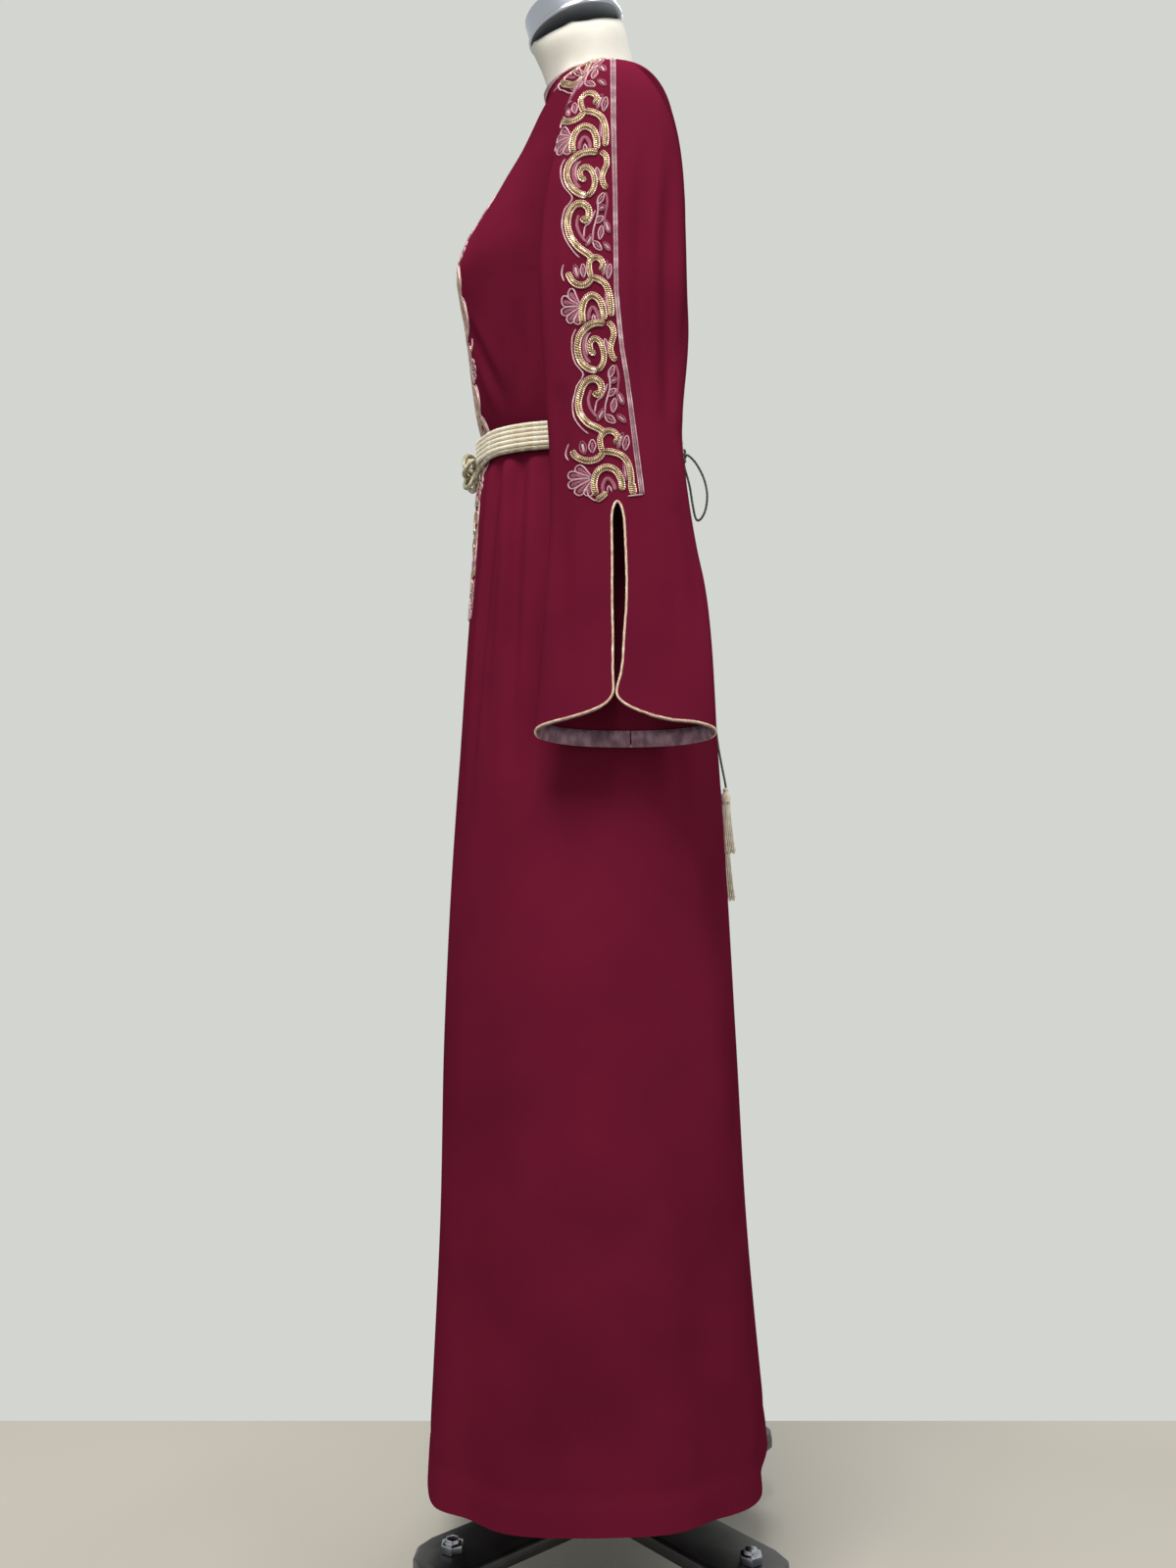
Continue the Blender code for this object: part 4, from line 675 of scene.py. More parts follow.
def armhole_turns(at, rise):
    """Where the armhole cuts a body section, rise 0 at the armpit to 1 on top."""
    row = section_at(BODY, at)
    half = ARMHOLE_HALF_X * 2 * math.sqrt(max(rise * (1 - rise), 0.0))
    front = (half / (row.side_x - row.front_x)) ** (row.square / 2)
    back = (half / (row.back_x - row.side_x)) ** (row.square / 2)
    return math.degrees(math.acos(min(front, 1))), 180 - math.degrees(math.acos(min(back, 1)))


def body_rows():
    """The body's rows from hem to neck, each as (place in BODY, rise in the armhole or None)."""
    rows = []
    for section, steps in enumerate(STEPS_PER_SECTION):
        rows += [(section + step / steps, None) for step in range(steps)]
    for row in range(ARMHOLE_ROWS + 1):
        rise = (1 - math.cos(math.pi * row / ARMHOLE_ROWS)) / 2
        rows.append((ARMPIT + rise * (SHOULDER_POINT - ARMPIT), rise))
    return rows + [(float(section), None) for section in range(SHOULDER_POINT + 1, NECK_EDGE + 1)]


def turns_at(row):
    at, rise = row
    return (90, 90) if rise is None else armhole_turns(at, rise)


def sleeve_point(at, phi, split=0):
    """A point of the left sleeve; phi in degrees from the outer line, forwards."""
    row = section_at(SLEEVE, at)
    cos, sin = math.cos(math.radians(phi)), math.sin(math.radians(phi))
    power = 2 / row.square
    out = math.copysign(abs(cos) ** power, cos)
    along = math.copysign(abs(sin) ** power, sin)
    middle_x = (row.front_x + row.back_x) / 2
    x = middle_x - (row.back_x - row.front_x) / 2 * along
    y = -(row.out_y + row.in_y) / 2 - (row.out_y - row.in_y) / 2 * out
    z = (row.out_z + row.in_z) / 2 + (row.out_z - row.in_z) / 2 * out
    drop = SLEEVE[SLIT_TOP].out_z - z
    drift = float(np.interp(drop, *zip(*SLIT_DRIFT)))
    if phi % 360 == 0 and at > SLIT_TOP - 1:
        x += drift + split * float(np.interp(drop, *zip(*SLIT_HALF_WIDTH)))
    if at > SLIT_TOP + 1 and out > 0:
        share = (at - SLIT_TOP - 1) / (CUFF - SLIT_TOP - 1)
        slit_x = middle_x + drift
        run = CUFF_RISE_RUN[0 if x < slit_x else 1]
        z += CUFF_RISE * share**2 * math.exp(-abs(x - slit_x) / run) * out
    return Vector((x, y, z))


def sleeve_rows():
    """The sleeve's rows below the armhole, as places in SLEEVE."""
    rows = [SLIT_TOP + SLIT_ARCH]
    for section, steps in enumerate(SLEEVE_STEPS):
        rows += [section + step / steps for step in range(steps)]
    return sorted(rows) + [float(CUFF)]


PANELS = ["front_left", "front_right", "back", "sleeve_left", "sleeve_right"]
FRONT_L, FRONT_R, BACK, SLEEVE_L, SLEEVE_R = range(5)
OTHER_SIDE = {FRONT_L: FRONT_R, BACK: BACK, SLEEVE_L: SLEEVE_R}


def panel_grid(shape, columns, rows, place_at, panel):
    """One cut panel of the left half as a grid, marked with its panel number."""
    made = bmesh.ops.create_grid(shape, x_segments=columns, y_segments=rows, size=1)["verts"]
    for vert in made:
        i = round((vert.co.x + 1) / 2 * columns)
        j = round((vert.co.y + 1) / 2 * rows)
        vert.co = place_at(i, j)
    for face in {face for vert in made for face in vert.link_faces}:
        face.material_index = panel


# Above this height the armhole seam is eased into the sleeve's cap
CAP_SEAM_FROM = 1.30


def sewn_cage():
    """All panels sewn edge to edge: a coarse cage of the garment's outer face."""
    rows = body_rows()
    sleeves = sleeve_rows()
    armpit_row = next(k for k, row in enumerate(rows) if row[1] is not None)

    def front(i, j):
        return body_point(rows[j][0], turns_at(rows[j])[0] * i / FRONT_COLUMNS)

    def back(i, j):
        start = turns_at(rows[j])[1]
        return body_point(rows[j][0], start + (180 - start) * i / FRONT_COLUMNS)

    def sleeve(i, j):
        if j == 0:
            row = rows[armpit_row + abs(i - ARMHOLE_ROWS)]
            return body_point(row[0], turns_at(row)[0 if i <= ARMHOLE_ROWS else 1])
        at = sleeves[j - 1]
        split = {0: -1, 2 * ARMHOLE_ROWS: 1}.get(i, 0) if at > SLIT_TOP else 0
        return sleeve_point(at, 360 * (i % (2 * ARMHOLE_ROWS)) / (2 * ARMHOLE_ROWS), split)

    cage = bmesh.new()
    panel_grid(cage, FRONT_COLUMNS, len(rows) - 1, front, FRONT_L)
    panel_grid(cage, FRONT_COLUMNS, len(rows) - 1, back, BACK)
    panel_grid(cage, 2 * ARMHOLE_ROWS, len(sleeves), sleeve, SLEEVE_L)
    bmesh.ops.remove_doubles(cage, verts=cage.verts[:], dist=1e-6)
    armhole = [v for v in cage.verts
               if {FRONT_L, SLEEVE_L} <= {f.material_index for f in v.link_faces}
               or {BACK, SLEEVE_L} <= {f.material_index for f in v.link_faces}]
    near = {n for v in armhole if v.co.z > CAP_SEAM_FROM for e in v.link_edges for n in e.verts}
    for _ in range(2):
        bmesh.ops.smooth_vert(cage, verts=list(near), factor=0.25,
                              use_axis_x=True, use_axis_y=True, use_axis_z=True)
    copy = bmesh.ops.duplicate(cage, geom=cage.verts[:] + cage.edges[:] + cage.faces[:])["geom"]
    other = [g for g in copy if isinstance(g, bmesh.types.BMVert)]
    bmesh.ops.scale(cage, vec=(1, -1, 1), verts=other)
    for face in [g for g in copy if isinstance(g, bmesh.types.BMFace)]:
        face.material_index = OTHER_SIDE[face.material_index]
    bmesh.ops.remove_doubles(cage, verts=[v for v in cage.verts if abs(v.co.y) < 1e-6], dist=1e-6)
    bmesh.ops.recalc_face_normals(cage, faces=cage.faces[:])
    return cage


def values_of(rows, key, width=1, kind=float):
    """One attribute of all of a mesh's points, edges, loops or faces, as an array."""
    flat = np.empty(len(rows) * width, kind)
    rows.foreach_get(key, flat)
    return flat.reshape(-1, width) if width > 1 else flat


def move_points(mesh, places):
    mesh.vertices.foreach_set("co", places.ravel())
    mesh.update()


def smoothed(obj, levels):
    """The piece's mesh as its subdivision shows it, as a new mesh."""
    modifier = obj.modifiers.get("smooth") or obj.modifiers.new("smooth", "SUBSURF")
    modifier.levels = modifier.render_levels = levels
    bpy.context.view_layer.update()
    return bpy.data.meshes.new_from_object(obj.evaluated_get(bpy.context.evaluated_depsgraph_get()))


FITTING_PASSES = 5


def fitted_surface():
    """The cage smoothed so that it still passes through the cage's corners."""
    cage = sewn_cage()
    mesh = bpy.data.meshes.new("cage")
    cage.to_mesh(mesh)
    cage.free()
    obj = placed("cage", mesh)
    for _ in PANELS:
        mesh.materials.append(CREPE)
    target = values_of(mesh.vertices, "co", 3)
    moved = target.copy()
    for _ in range(FITTING_PASSES):
        shown = smoothed(obj, 1)
        moved += target - values_of(shown.vertices, "co", 3)[:len(target)]
        bpy.data.meshes.remove(shown)
        move_points(mesh, moved)
    fine = smoothed(obj, 3)
    bpy.data.objects.remove(obj)
    bpy.data.meshes.remove(mesh)
    return fine


# Heights between which the body's and the sleeves' cloth is eased, so that no row shows,
# and how far the easing takes to set in at the ends of a band
EASED_BODY = ((1.215, 1.32), (1.36, 1.47))
EASED_SLEEVE = ((0.965, 1.065),)
EASE_EDGE = 0.02
EASE_PASSES = 34


def eased(fine, places, sleeves, fixed):
    """The places with the rows of the cage ridge-free, and its edges and armholes kept."""
    a, b = values_of(fine.edges, "vertices", 2, int).T
    size = len(places)
    count = np.bincount(a, minlength=size) + np.bincount(b, minlength=size)
    share = np.zeros(size)
    for bands, here in ((EASED_BODY, ~sleeves), (EASED_SLEEVE, sleeves)):
        for low, high in bands:
            z = places[:, 2]
            up = np.clip((z - low) / EASE_EDGE, 0, 1) * np.clip((high - z) / EASE_EDGE, 0, 1)
            share = np.maximum(share, up * here)
    share[fixed] = 0
    for _ in range(EASE_PASSES):
        sums = [np.bincount(a, column[b], size) + np.bincount(b, column[a], size) for column in places.T]
        places = places + (np.array(sums).T / count[:, None] - places) * (0.5 * share)[:, None]
    return places


# Creases pressed and hung into the cloth, given one by one. route runs over the cloth
# from its sharp end; width and depth in mm, depth negative for a trough.
Crease = namedtuple("Crease", "panels route width depth fade")
FRONTS, SLEEVES, ALL_BACK = (FRONT_L, FRONT_R), (SLEEVE_L, SLEEVE_R), (BACK,)
CREASES = [
    # bodice, drawn in by the belt
    Crease(FRONTS, [(-.130, -.036, 1.250), (-.114, -.075, 1.190), (-.094, -.103, 1.130)], 8, -3.8, "both"),
    Crease(FRONTS, [(-.132, -.045, 1.235), (-.118, -.075, 1.180), (-.104, -.090, 1.130)], 7, 1.8, "both"),
    Crease(FRONTS, [(-.085, -.118, 1.240), (-.078, -.112, 1.180), (-.080, -.106, 1.128)], 9, -2.2, "both"),
    Crease(FRONTS, [(-.050, -.135, 1.225), (-.045, -.130, 1.175), (-.050, -.122, 1.130)], 8, 1.6, "both"),
    # gathers let out under the belt at the front and side
    Crease(FRONTS, [(-.107, -.085, 1.098), (-.111, -.097, 0.960), (-.109, -.110, 0.740)], 8, -4.6, "end"),
    Crease(FRONTS, [(-.097, -.100, 1.098), (-.097, -.118, 0.970), (-.098, -.130, 0.800)], 7, 2.6, "end"),
    Crease(FRONTS, [(-.083, -.108, 1.098), (-.083, -.130, 0.960), (-.080, -.150, 0.760)], 8, -3.4, "end"),
    Crease(FRONTS, [(-.052, -.122, 1.095), (-.050, -.150, 0.930), (-.052, -.172, 0.700)], 11, -2.4, "end"),
    Crease(FRONTS, [(-.120, -.035, 1.095), (-.134, -.040, 0.960), (-.146, -.048, 0.800)], 9, -2.0, "end"),
    # side and back of the skirt
    Crease(ALL_BACK, [(.030, -.118, 1.095), (.045, -.140, 0.950), (.062, -.160, 0.640)], 10, -3.0, "end"),
    Crease(ALL_BACK, [(.048, -.095, 1.095), (.070, -.110, 0.960), (.085, -.130, 0.720)], 9, -2.6, "end"),
    Crease(ALL_BACK, [(.064, -.062, 1.095), (.088, -.070, 0.950), (.104, -.080, 0.660)], 10, -2.8, "end"),
    Crease(ALL_BACK, [(.073, -.025, 1.095), (.096, -.030, 0.940), (.112, -.036, 0.600)], 9, -2.4, "end"),
    Crease(ALL_BACK, [(.052, -.090, 1.220), (.050, -.088, 1.170), (.048, -.088, 1.130)], 9, -2.0, "both"),
    Crease(ALL_BACK, [(.068, -.050, 1.230), (.066, -.048, 1.180), (.064, -.046, 1.130)], 9, -2.0, "both"),
    Crease(ALL_BACK, [(.030, -.120, 1.230), (.026, -.114, 1.180), (.024, -.110, 1.130)], 9, 1.6, "both"),
    Crease(ALL_BACK, [(.070, -.120, 1.340), (.072, -.090, 1.300), (.073, -.050, 1.270)], 12, -1.6, "both"),
    # sleeve: long hanging folds behind the embroidery, and the elbow's ease
    Crease(SLEEVES, [(.030, -.206, 1.360), (.024, -.214, 1.240), (.030, -.213, 1.060)], 8, -3.2, "both"),
    Crease(SLEEVES, [(.046, -.196, 1.350), (.044, -.206, 1.220), (.048, -.205, 1.020)], 8, -3.8, "both"),
    Crease(SLEEVES, [(.058, -.185, 1.300), (.056, -.190, 1.200), (.055, -.196, 1.080)], 6, 1.6, "both"),
    Crease(SLEEVES, [(.052, -.200, 1.100), (.066, -.205, 0.980), (.078, -.210, 0.860)], 9, -2.2, "end"),
    Crease(SLEEVES, [(.030, -.214, 1.060), (.040, -.220, 0.960), (.046, -.226, 0.860)], 9, 1.5, "both"),
    Crease(SLEEVES, [(-.050, -.204, 1.330), (-.053, -.207, 1.240), (-.049, -.207, 1.150)], 6, -1.4, "both"),
    Crease(SLEEVES, [(-.045, -.207, 1.130), (-.044, -.210, 1.000), (-.050, -.214, 0.870)], 9, -2.2, "end"),
    Crease(SLEEVES, [(-.025, -.216, 1.020), (-.026, -.221, 0.950), (-.030, -.226, 0.860)], 8, 1.4, "both"),
    # the sleeve's back edge stands off over the belt
    Crease(SLEEVES, [(.055, -.186, 1.230), (.058, -.190, 1.120), (.062, -.190, 1.060), (.072, -.195, .960)],
           11, 3.0, "both"),
]
# The wearer's right side hangs the same way, its creases a little elsewhere
RIGHT_SHIFT = Vector((0.004, 0.0, -0.012))
CREASE_STEP = 0.010
# A crease's cloth is taken from beside it: depth, place and width of that fall, as shares
# of the crease's own depth and width
FALL_BESIDE = (0.45, 1.7, 0.8)
CREASE_REACH = 3.2
# Shares of a crease's length over which it sets in, by its kind, and dies away
SETS_IN = {"both": 0.35, "end": 0.06}
DIES_AWAY = 0.45


def crease_lines(tree):
    """Each crease on each of its sides, brought down onto the cloth."""
    for crease in CREASES:
        for panel in crease.panels:
            for side in (-1, 1):
                if panel != BACK and side != (-1 if panel in (FRONT_L, SLEEVE_L) else 1):
                    continue
                route = [Vector(p) + (RIGHT_SHIFT if side == 1 else Vector()) for p in crease.route]
                route = [(p.x, -side * p.y, p.z) for p in route]
                points = through(route, max(int(length_of(route) / CREASE_STEP), 4))
                down = [tree.find_nearest(Vector(p))[0] for p in points]
                yield crease, panel, np.array(down)


def crease_depths(fine, places, panels):
    """How far each point of the cloth moves out or in for the creases."""
    shape = bmesh.new()
    shape.from_mesh(fine)
    tree = BVHTree.FromBMesh(shape)
    shape.free()
    depth = np.zeros(len(places))
    fall, fall_at, fall_width = FALL_BESIDE
    for crease, panel, line in crease_lines(tree):
        width = crease.width * MM
        reach = CREASE_REACH * width
        low, high = line.min(0) - reach, line.max(0) + reach
        near = np.flatnonzero(np.all((places > low) & (places < high), axis=1) & panels[panel])
        away = np.full(len(near), 9.0)
        share = np.zeros(len(near))
        for k, (a, b) in enumerate(zip(line, line[1:])):
            run = b - a
            t = np.clip(((places[near] - a) @ run) / (run @ run), 0, 1)
            distance = np.linalg.norm(places[near] - (a + t[:, None] * run), axis=1)
            closer = distance < away
            away[closer] = distance[closer]
            share[closer] = (k + t[closer]) / (len(line) - 1)
        r = away / width
        profile = np.exp(-r**2) - fall * np.exp(-((r - fall_at) / fall_width) ** 2)
        fade_in = np.clip(share / SETS_IN[crease.fade], 0, 1)
        fade_out = np.clip((1 - share) / DIES_AWAY, 0, 1)
        ease = cubic(fade_in, 0, 1, 0, 0) * cubic(fade_out, 0, 1, 0, 0)
        depth[near] += crease.depth * MM * profile * ease
    return depth


def slow_waves(places):
    """Slight unevenness of hung cloth, in metres, the same at every run."""
    x, y, z = places.T
    around = np.arctan2(y, x)
    return (0.0009 * np.sin(7 * around + 3.1 * z) * np.sin(9 * z + 2 * around)
            + 0.0005 * np.sin(13 * around - 5 * z + 1.3))


# Between these heights the creases die away to this share, because the shoulder is taut
SHOULDER_CALM = (1.36, 1.43)
CALM_SHARE = 0.15
SEAM_SINK = 0.00005
# The hem's stitching: how high above the edge it runs, how deep and how wide it marks the cloth
HEM_DEPTH = 0.034
HEM_MARK = -0.0009
HEM_MARK_WIDTH = 0.007


def hem_height(places):
    """The hem's own height under each point: highest at the back, lowest in front."""
    turn = np.arctan2(np.abs(places[:, 1]), -places[:, 0])
    low = np.where(np.cos(turn) > 0, BODY[0].front_z, BODY[0].back_z)
    return BODY[0].side_z + (low - BODY[0].side_z) * np.cos(turn) ** 2


def border_edges(mesh):
    """Which edges have a face on one side only."""
    return np.bincount(values_of(mesh.loops, "edge_index", kind=int), minlength=len(mesh.edges)) == 1


def open_edge(mesh):
    """Which points lie on the cloth's open edges: neck, hem, cuffs and slits."""
    marked = np.zeros(len(mesh.vertices), bool)
    marked[values_of(mesh.edges, "vertices", 2, int)[border_edges(mesh)].ravel()] = True
    return marked


def hung_cloth():
    """The garment's whole outer face with its creases."""
    fine = fitted_surface()
    corner = values_of(fine.loops, "vertex_index", kind=int)
    owner = np.repeat(values_of(fine.polygons, "material_index", kind=int),
                      values_of(fine.polygons, "loop_total", kind=int))
    panels = np.zeros((len(PANELS), len(fine.vertices)), bool)
    for panel in range(len(PANELS)):
        panels[panel, corner[owner == panel]] = True
    sleeves = panels[SLEEVE_L] | panels[SLEEVE_R]
    armholes = sleeves & (panels[FRONT_L] | panels[FRONT_R] | panels[BACK])
    places = eased(fine, values_of(fine.vertices, "co", 3), sleeves, armholes | open_edge(fine))
    move_points(fine, places)
    normals = values_of(fine.vertex_normals, "vector", 3)
    calm = np.clip((SHOULDER_CALM[1] - places[:, 2]) / (SHOULDER_CALM[1] - SHOULDER_CALM[0]), 0, 1)
    depth = crease_depths(fine, places, panels) + slow_waves(places)
    depth *= CALM_SHARE + (1 - CALM_SHARE) * calm
    depth[panels.sum(0) > 1] -= SEAM_SINK
    above_stitching = places[:, 2] - hem_height(places) - HEM_DEPTH
    depth += HEM_MARK * np.exp(-(above_stitching / HEM_MARK_WIDTH) ** 2)
    move_points(fine, places + normals * depth[:, None])
    return fine


def surface_tree(mesh):
    """The cloth's face as a tree to look up, with its triangles' corners and their normals."""
    shape = bmesh.new()
    shape.from_mesh(mesh)
    bmesh.ops.triangulate(shape, faces=shape.faces[:])
    shape.normal_update()
    tree = BVHTree.FromBMesh(shape)
    shape.faces.ensure_lookup_table()
    corners = [[v.co.copy() for v in f.verts] for f in shape.faces]
    normals = [[v.normal.copy() for v in f.verts] for f in shape.faces]
    shape.free()
    return tree, corners, normals


def panel_piece(fine, panel):
    """One panel of the garment, cut from the sewn face and given its thickness."""
    shape = bmesh.new()
    shape.from_mesh(fine)
    others = [face for face in shape.faces if face.material_index != panel]
    bmesh.ops.delete(shape, geom=others, context="FACES")
    for face in shape.faces:
        face.material_index = 0
    name = PANELS[panel]
    obj = keep(shape, name + "_cloth", CREPE, "wine_crepe", [name])
    # The cut edges stay crisp, so that the seams don't shade as grooves
    for edge, cut in zip(obj.data.edges, border_edges(obj.data)):
        edge.use_edge_sharp = bool(cut)
    wall = obj.modifiers.new("cloth", "SOLIDIFY")
    wall.thickness = CLOTH
    wall.offset = -1.0
    wall.use_even_offset = False
    area = sum(face.area for face in obj.data.polygons)


CLOTH_FACE = hung_cloth()
for panel in range(len(PANELS)):
    panel_piece(CLOTH_FACE, panel)
TREE, FACE_CORNERS, FACE_NORMALS = surface_tree(CLOTH_FACE)


def on_cloth(origin, direction):
    """Where a look from outside meets the cloth."""
    return TREE.ray_cast(Vector(origin), Vector(direction))[0]


def cloth_normal(face, point):
    """The cloth's smooth outward normal at a point of one of its triangles."""
    weights = interpolate.poly_3d_calc(FACE_CORNERS[face], point)
    return sum((n * w for n, w in zip(FACE_NORMALS[face], weights)), Vector()).normalized()


# Embroidery
# The builder's own scrollwork of traditional forms: one repeat is 144 mm long and
# 54 mm wide. A stroke's points are (distance from the straight edge, distance down),
# and all its sizes are in mm.
Stroke = namedtuple("Stroke", "thread width height points")
REPEAT = 144.0
GOLD, SILVER, PINK, MAUVE = range(4)


# Outlines, as (share of the length, distance off the middle): a petal's in mm, and a
# leaf's as a share of its belly
PETAL = ((0.45, 2.0), (0.80, 3.5), (0.97, 2.2), (1.0, 0), (0.97, -2.2), (0.80, -3.4), (0.45, -2.0))
LEAF = ((0.30, 0.8), (0.62, 1.0), (1.0, 0.0), (0.62, -1.0), (0.30, -0.8))


def fan(root, reach, petals):
    """A palmette of petals spread from one root, each given as (angle, share of the reach):
    an outline round a middle filled in two bands, the outer one wider."""
    strokes = []
    for angle, share in petals:
        c, s = math.cos(math.radians(angle)), math.sin(math.radians(angle))
        size = reach * share

        def at(along, across):
            return (root[0] + along * c - across * s, root[1] + along * s + across * c)

        loop = [at(2, 0.3)] + [at(size * along, out) for along, out in PETAL] + [at(2, -0.3)]
        strokes.append(Stroke(SILVER, 1.5, 1.2, loop))
        strokes.append(Stroke(PINK, 2.9, 0.8, [at(3, 0), at(size * 0.45, 0), at(size * 0.75, 0)]))
        strokes.append(Stroke(PINK, 4.0, 0.8, [at(size * 0.55, 0), at(size * 0.75, 0), at(size * 0.92, 0)]))
    return strokes


def leaf(root, tip, belly, thread):
    """A small leaf between two points: an outline round a filled middle."""
    rx, ry = root
    tx, ty = tip
    length = math.hypot(tx - rx, ty - ry)
    nx, ny = -(ty - ry) / length, (tx - rx) / length

    def at(share, out):
        return (rx + (tx - rx) * share + nx * belly * out, ry + (ty - ry) * share + ny * belly * out)

    loop = [root] + [at(share, out) for share, out in LEAF] + [root]
    middle = [at(share, 0) for share in (0.15, 0.5, 0.85)]
    fill = PINK if thread == SILVER else SILVER
    return [Stroke(thread, 1.4, 1.1, loop), Stroke(fill, belly * 1.1, 0.8, middle)]


def leaves(table):
    """Several leaves, each given as (root, tip, belly, thread)."""
    return [stroke for row in table for stroke in leaf(*row)]


def one_repeat():
    """The strokes of one repeat, from the crook at its top down to the second C."""
    strokes = [
        # crook, with its two long arms spreading below
        Stroke(GOLD, 5.2, 1.5, [(17.5, 12), (14.5, 7), (17, 2), (22.5, 0), (27.5, 4), (27.5, 11),
                                (25.5, 18)]),
        Stroke(GOLD, 5.8, 1.6, [(25, 17), (19, 18.5), (12.5, 23), (9, 31), (8.5, 41), (9.5, 50)]),
        Stroke(GOLD, 5.8, 1.6, [(25, 17), (30, 22), (37, 23), (44, 19), (49, 11)]),
        # arch in an arch
        Stroke(GOLD, 6.2, 1.7, [(37.5, 53), (37, 43), (33, 34), (26, 30.5), (19.5, 34), (16.5, 42),
                                (16.5, 52)]),
        Stroke(PINK, 3.4, 1.1, [(31.5, 51), (30.5, 44.5), (26.5, 40), (22.8, 44), (22, 51)]),
        Stroke(SILVER, 1.6, 1.1, [(28, 52), (27.6, 48.5), (26.4, 46.5), (25.2, 48.5), (25, 52)]),
        # large C with its tail curled up inside
        Stroke(GOLD, 6.2, 1.7, [(16, 55), (23, 53.5), (32, 55), (41, 61), (45.5, 70), (44.5, 80), (38, 88),
                                (29, 92)]),
        Stroke(GOLD, 5.2, 1.5, [(29, 92), (23, 87), (20.5, 79), (22.5, 70.5), (28, 66.5), (33, 70),
                                (32.5, 76), (28, 77.5)]),
        Stroke(PINK, 3.2, 1.0, [(34, 60.5), (38, 66), (39.5, 73), (38, 80), (34.5, 84.5)]),
        Stroke(SILVER, 1.5, 1.1, [(31, 60.5), (35.5, 65), (37.4, 72), (36.4, 78)]),
        # small S against the straight edge
        Stroke(GOLD, 5.2, 1.5, [(14, 54), (9.5, 58), (8.7, 65), (11.5, 71), (13.5, 77), (12, 83.5),
                                (8.7, 86)]),
        # second C, opening with a spiral
        Stroke(GOLD, 6.2, 1.7, [(35, 109), (31, 112.5), (27.5, 109), (28, 102.5), (33.5, 98), (41, 99),
                                (46.5, 105.5), (48.5, 115.5), (45.5, 126), (38, 135), (29, 141), (24, 146)]),
        # bud stems between the second C and the straight edge
        Stroke(SILVER, 1.7, 1.1, [(19, 94), (18.5, 103), (20.5, 112), (23.5, 121), (24.5, 131)]),
        Stroke(PINK, 2.2, 1.0, [(11, 89), (9.5, 97), (11, 106), (13.5, 116)]),
        Stroke(SILVER, 1.6, 1.1, [(21, 104), (26.5, 114), (31.5, 118), (33, 127)]),
        Stroke(PINK, 3.0, 0.9, [(37.5, 107), (39.5, 115), (37, 123), (31, 131)]),
    ]
    strokes += leaves([
        ((19.5, 100), (12.5, 90), 2.3, SILVER), ((19, 104), (11.5, 101), 2.1, PINK),
        ((22, 115), (14, 110), 2.4, SILVER), ((12.5, 112), (8, 124), 2.3, PINK),
        ((15, 117), (17.5, 129), 2.4, SILVER), ((24.5, 130), (16, 138), 2.5, SILVER),
        ((24.5, 124), (30.5, 134), 2.2, PINK), ((14, 131), (7.5, 139), 2.0, PINK),
        ((10, 19), (7.5, 6), 2.2, SILVER), ((15, 17), (10.5, 3), 1.9, PINK),
        ((33, 17), (34, 5), 2.5, SILVER), ((38.5, 17.5), (42, 5), 2.4, PINK),
        ((18, 67), (16.5, 79), 2.0, SILVER), ((12, 27), (12.5, 44), 1.3, PINK)])
    strokes += fan((36.5, 38), 20.0, [(-48, 0.78), (-20, 0.98), (8, 1.02), (36, 0.96), (62, 0.80)])
    # thin couched line round the scalloped edge
    strokes += [Stroke(SILVER, 1.5, 1.1, [(53, 4), (54.5, 12), (52, 19)]),
                Stroke(SILVER, 1.5, 1.1, [(45, 56), (50, 63), (51.5, 72), (49.5, 82), (43.5, 91), (45, 96),
                                          (51, 102), (54, 114), (51.5, 126), (44.5, 136.5), (37, 144)])]
    return strokes


def braid_along(length):
    """The braid along the straight edge: a flat middle between two couched lines."""
    steps = np.linspace(0, length, max(int(length / 12), 3))
    braid = [Stroke(MAUVE, 2.6, 0.9, [(2.0, s) for s in steps])]
    return braid + [Stroke(SILVER, 1.1, 1.2, [(offset, s) for s in steps]) for offset in (0.4, 3.6)]


# A chart of the cloth: points and normals [down][across], its step down and its length in
# mm, and scale as (shares of the length, widths there as a part of the repeat's own)
Chart = namedtuple("Chart", "points normals down_step length scale")
ACROSS_STEP = 2.0
ACROSS_REACH = 70.0
DOWN_STEP = 2.5


def walked(start, direction):
    """Points and normals met when walking straight ahead over the cloth."""
    point = TREE.find_nearest(Vector(start))[0]
    heading = Vector(direction)
    points, normals = [], []
    for _ in range(int(ACROSS_REACH / ACROSS_STEP) + 1):
        near, _, face, _ = TREE.find_nearest(point)
        normal = cloth_normal(face, near)
        points.append(tuple(near))
        normals.append(tuple(normal))
        heading = (heading - normal * heading.dot(normal)).normalized()
        point = near + heading * ACROSS_STEP * MM
    return points, normals


def chart(line, ahead, scale):
    """A chart laid off from a line on the cloth, walking from it at right angles."""
    length = length_of(line) / MM
    spots = through(line, int(length / DOWN_STEP) + 1)
    rows = []
    for spot, run in zip(spots, tangents(spots)):
        rows.append(walked(spot, ahead - run * ahead.dot(run)))
    points, normals = (np.array(table) for table in zip(*rows))
    return Chart(points, normals, length / (len(spots) - 1), length, scale)


